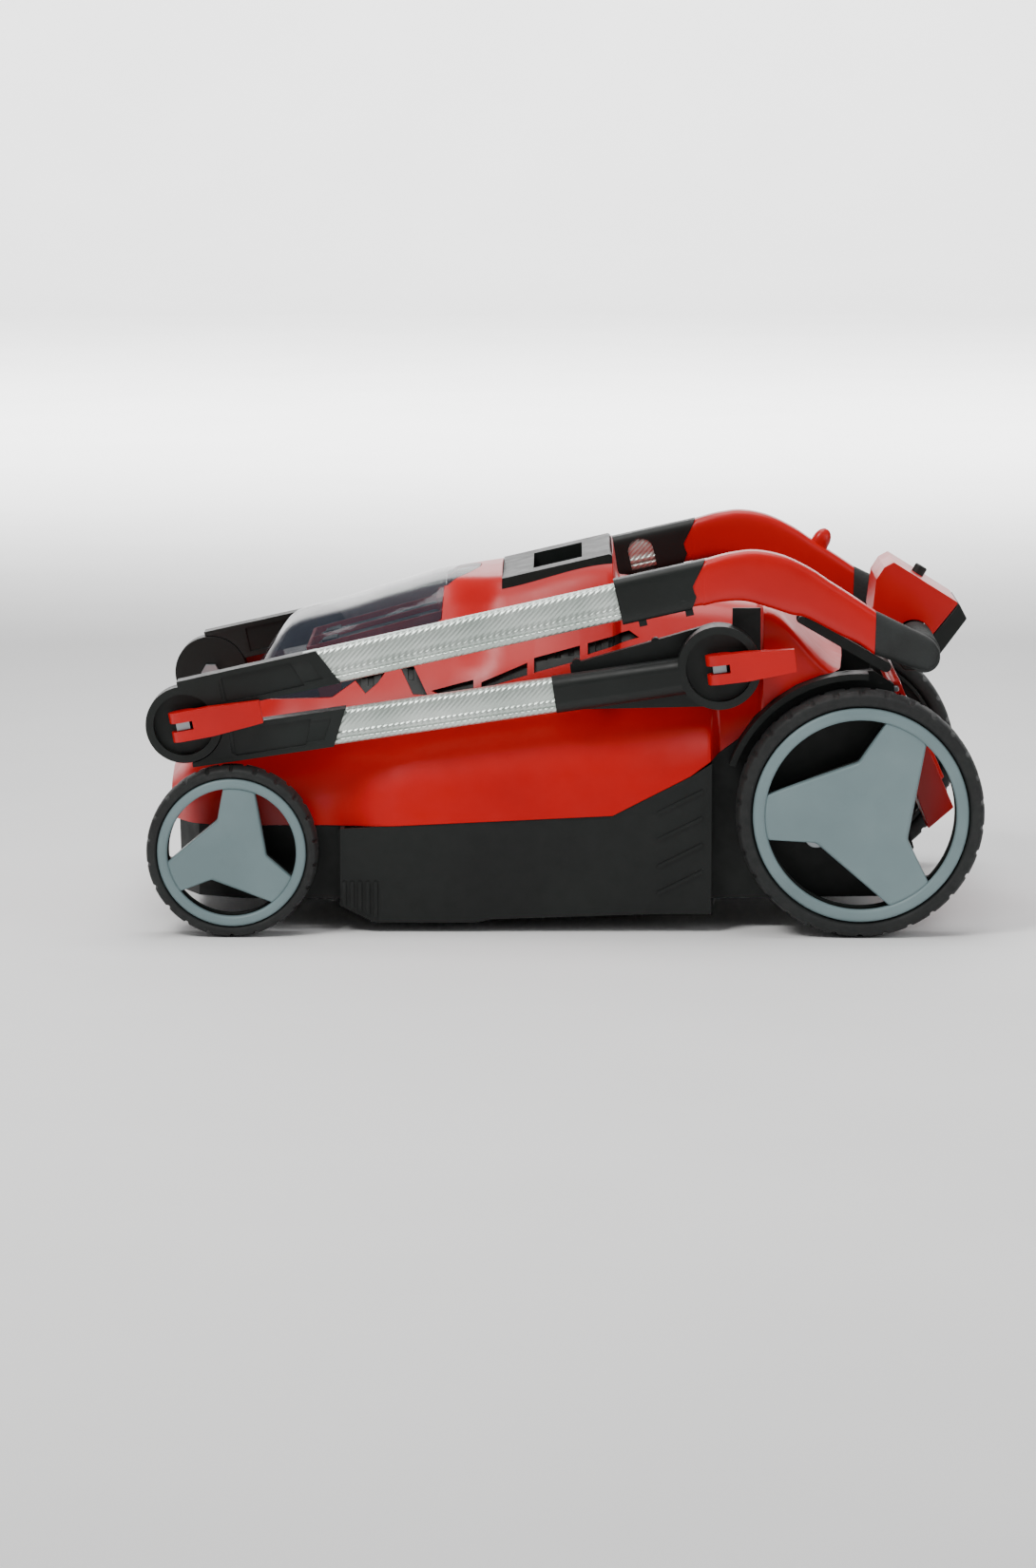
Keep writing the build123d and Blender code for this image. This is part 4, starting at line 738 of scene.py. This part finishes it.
parting = [(-385, 92.5), (-200, 93.5), (42, 105.5), (111, 140.5)]
arch = [(261 + 123.5 * cos(radians(a)), 110 + 123.5 * sin(radians(a))) for a in (150, 139, 128, 117, 106, 95, 84)]
hood_vents = [
    [(-28, 240), (13, 251), (13, 238), (-28, 227)],
    [(20, 253), (57, 263), (66, 257), (20, 243)],
    [(-75, 219), (-34, 236), (-34, 225), (-75, 213)],
    [(-120, 211), (-82, 221), (-82, 212), (-108, 206)],
    [(-149, 231), (-136, 231), (-123, 207), (-136, 207)],
    [(-190, 219), (-160, 227), (-168, 216), (-179, 207)],
]


def make_hood():
    """Red hood: the smooth form hollowed out, trimmed at the parting line, with its lid, handle and vents cut in."""
    shell = carve(hood_solid("hood_molded", 0.0), hood_solid("inside", 3.0), "DIFFERENCE")
    waste = [(-400, 60), (400, 60), (400, 400), (322, 400), (322, 220.8)] + arch[::-1] + parting[::-1]
    carve(shell, prism(waste + [(-400, 92.5)], -220, 220), "DIFFERENCE")
    carve(shell, lid_tool(-0.6), "DIFFERENCE")
    carve(shell, prism([(-57.2, 289.8), (42.2, 312.8), (42.2, 345), (-57.2, 345)], -95.2, 95.2), "DIFFERENCE")
    for outline in hood_vents:
        carve(shell, prism(outline, 60, 210), "DIFFERENCE")
        carve(shell, prism(outline, -210, -60), "DIFFERENCE")
    carve(shell, prism([(270, 150), (330, 150), (330, 216), (270, 216)], -139, 139), "DIFFERENCE")
    return settle(shell, ["hood"], finishes["red_plastic"], 24)


def make_lid():
    """Smoked lid: the same form 2.5 mm thick, cut to the lid's outline."""
    shell = carve(hood_solid("battery_lid_molded", 0.0), hood_solid("inside", 2.5), "DIFFERENCE")
    carve(shell, lid_tool(0.0), "INTERSECT")
    return settle(shell, ["battery_lid"], finishes["smoked_window"], 24)


make_hood()
make_lid()


def line_point(origin, slope, u, v):
    """The point u along and v above a line that leaves origin at a slope; millimetres."""
    a = radians(slope)
    return (origin[0] + u * cos(a) - v * sin(a), origin[1] + u * sin(a) + v * cos(a))


def make_coupling(side_name, side):
    """Clamp sleeve: a rounded oblong tube whose far end is cut back to a notch, with an arched window inside.
    Each ring's distance along the slope is shared out between the straight start and the notched end."""
    node = "coupling_" + side_name
    low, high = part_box(node)
    y_mid, half_w = (low[1] + high[1]) / 2, (high[1] - low[1]) / 2
    half_h = 0.0205
    w, h = oblong(half_w, half_h, 5.0, 120)
    heights = np.array([-20.5, -9.5, -1.5, 20.5]) * MM
    reach = np.interp(h, heights, np.array([62.0, 68.5, 66.0, 82.5]) * MM)
    t = np.linspace(0, 1, 40)[:, None]
    u = np.broadcast_to(t * reach[None, :], (40, len(w)))
    along = np.array([cos(upper_slope), 0, sin(upper_slope)])
    up = np.array([-sin(upper_slope), 0, cos(upper_slope)])
    base = np.array([head_x, y_mid, head_z])
    across = np.array([0, 1.0, 0])
    wide, high_share = 0.845, 0.83
    outer = base + u[..., None] * along + w[None, :, None] * across + h[None, :, None] * up
    inner = base + u[..., None] * along + wide * w[None, :, None] * across + high_share * h[None, :, None] * up
    sleeve = grid_object(node + "_sleeve", np.concatenate([outer, inner[::-1]], axis=0), close_u=True)
    start = (head_x / MM, head_z / MM)
    mid, arc_r, sill = 26, 12, -24
    rounds = [(mid + arc_r * cos(a), 2 + arc_r * sin(a)) for a in np.linspace(0, pi, 24)]
    corners = [(mid - arc_r, sill), (mid + arc_r, sill)] + rounds
    window = [line_point(start, UPPER_DEGREES, u, v) for u, v in corners]
    face = (low[1] if side > 0 else high[1]) / MM
    carve(sleeve, prism(window, *sorted((face - side * 2, face + side * 5))), "DIFFERENCE")
    for offset in (14, 56):
        corners = ((0, -25.5), (7, -25.5), (7, -19), (0, -19))
        foot = [line_point(start, UPPER_DEGREES, offset + du, dv) for du, dv in corners]
        carve(sleeve, prism(foot, y_mid / MM - 6, y_mid / MM + 4), "UNION")
    return settle(sleeve, [node], finishes["black_plastic"], 40)


for side_name, side in SIDES:
    make_coupling(side_name, side)


def knee_panels(name):
    """The long panels sunk into both faces of a knee bracket's arm, as outlines with their depths along Y."""
    slope, turn = (UPPER_DEGREES, 1) if name.startswith("upper") else (LOWER_DEGREES, -1)
    side = RIGHT if name.endswith("right") else LEFT
    outline = [line_point((-337, 188), slope, u, turn * v) for u, v in ((41, 11), (41, 34), (104, 34), (112, 11))]
    return [(outline, *sorted((side * near, side * far))) for near, far in ((171, 177.4), (196.2, 203))]


# ---------------------------------------------------------------- every other CAD node
edge_radius = {
    "rear_bracket": 1.6, "lower_knee_bracket": 1.6, "upper_knee_bracket": 1.6, "rear_clamp": 1.4,
    "knee_clamp": 1.4, "carry_handle": 1.6, "switch_box_upper": 2.6, "switch_box_lower": 2.6, "handle_mount": 1.2,
    "rear_flap": 1.0, "deck": 1.2, "lock_button": 0.8, "battery_bay": 1.0, "battery_pack": 1.2, "safety_key": 0.8,
    "front_wheel": 0.8, "rear_wheel": 0.8, "bail": 0.6, "discharge_chute": 0.8, "height_lever": 0.8,
    "motor_housing": 1.0, "control_board": 1.0, "vent_grilles": 0.4, "blade": 0.4, "blade_holder": 0.8,
    "front_axle": 0.6, "rear_axle": 0.6, "height_link": 0.6, "blade_bolt": 0.5, "hinge_rods": 0.4,
    "rear_pivot_bolts": 0.6, "knee_bolts": 0.6,
}
special_finish = {"deck": deck_finish, "discharge_chute": deck_finish, "blade": blade_finish}
for name in list(nodes):
    stem = name.replace("_left", "").replace("_right", "")
    if stem not in edge_radius:
        continue
    cuts = knee_panels(name) if "knee_bracket" in stem else ()
    softened(name, edge_radius[stem], special_finish.get(stem, finishes[slot_of_node[name]]), cuts)


# ---------------------------------------------------------------- camera, light and floor
def aim(obj, place, target):
    """Puts a camera or light in its place, turned to a target."""
    obj.location = place
    obj.rotation_euler = (Vector(target) - Vector(place)).to_track_quat("-Z", "Y").to_euler()


def sweep():
    """Seamless paper: a flat floor that turns up behind the mower in a quarter circle and goes on as a wall."""
    reach, start, bend, top = 14.0, 9.0, 1.5, 9.0
    turn = np.linspace(0, pi / 2, 24)
    y = np.concatenate([[-reach], start + bend * np.sin(turn), [start + bend]])
    z = np.concatenate([[0.0], bend * (1 - np.cos(turn)), [top]])
    x = np.array([-reach, reach])
    points = np.stack(np.broadcast_arrays(x[None, :], y[:, None], z[:, None]), axis=-1)
    rows = len(y)
    i = np.arange(rows - 1) * 2
    faces = np.stack([i, i + 1, i + 3, i + 2], axis=-1).tolist()
    mesh = bpy.data.meshes.new("sweep")
    mesh.from_pydata(points.reshape(-1, 3).tolist(), [], faces)
    mesh.shade_smooth()
    return placed("sweep", mesh)


def make_camera():
    """A long lens that looks slightly down at the left side, turned by a small yaw."""
    lens = bpy.data.cameras.new("camera")
    lens.lens = 125.7
    lens.sensor_fit = "VERTICAL"
    lens.sensor_height = 36.0
    camera = placed("camera", lens)
    yaw, pitch = -0.0086517, 0.145675
    eye = Vector((-0.0003, -4.9912, 0.8388))
    ahead = Vector((sin(yaw) * cos(pitch), cos(yaw) * cos(pitch), -sin(pitch)))
    aim(camera, eye, eye + ahead)
    bpy.context.scene.camera = camera


def make_world():
    """A faint white light from everywhere."""
    world = bpy.data.worlds.new("studio")
    world.use_nodes = True
    world.node_tree.nodes["Background"].inputs["Color"].default_value = (1, 1, 1, 1)
    world.node_tree.nodes["Background"].inputs["Strength"].default_value = 0.30
    bpy.context.scene.world = world


def make_lights():
    """A soft key light, a fill, a top light and a back light, and a long lamp that washes the backdrop."""
    for label, place, size, power, tint in [
            ("key", (-1.3, -1.7, 2.7), 1.0, 64, (1.0, 0.99, 0.97)),
            ("fill", (2.1, -1.9, 1.2), 1.5, 16, (0.97, 0.98, 1.0)),
            ("top", (0.1, 0.2, 2.8), 1.8, 56, (1, 1, 1)),
            ("back", (0.4, 2.0, 1.9), 1.6, 12, (1, 1, 1))]:
        lamp = bpy.data.lights.new(label, "AREA")
        lamp.size = size
        lamp.energy = power
        lamp.color = tint
        aim(placed(label, lamp), place, (0, 0, 0.15))
    wash = bpy.data.lights.new("wash", "AREA")
    wash.shape = "RECTANGLE"
    wash.size = 6.0
    wash.size_y = 0.6
    wash.energy = 1300
    aim(placed("wash", wash), (0.0, 4.2, 3.6), (0.0, 9.5, 0.3))


def make_floor():
    """The paper sweep in a matt white that drifts slightly."""
    floor = sweep()
    material, tree, shader, place = begin("matt_white_backdrop_paper")
    tree.links.new(vary(tree, place, "F3F3F3", "F6F6F6", 3.0), shader.inputs["Base Color"])
    shader.inputs["Roughness"].default_value = 0.9
    floor.data.materials.append(material)


make_camera()
make_world()
make_lights()
make_floor()
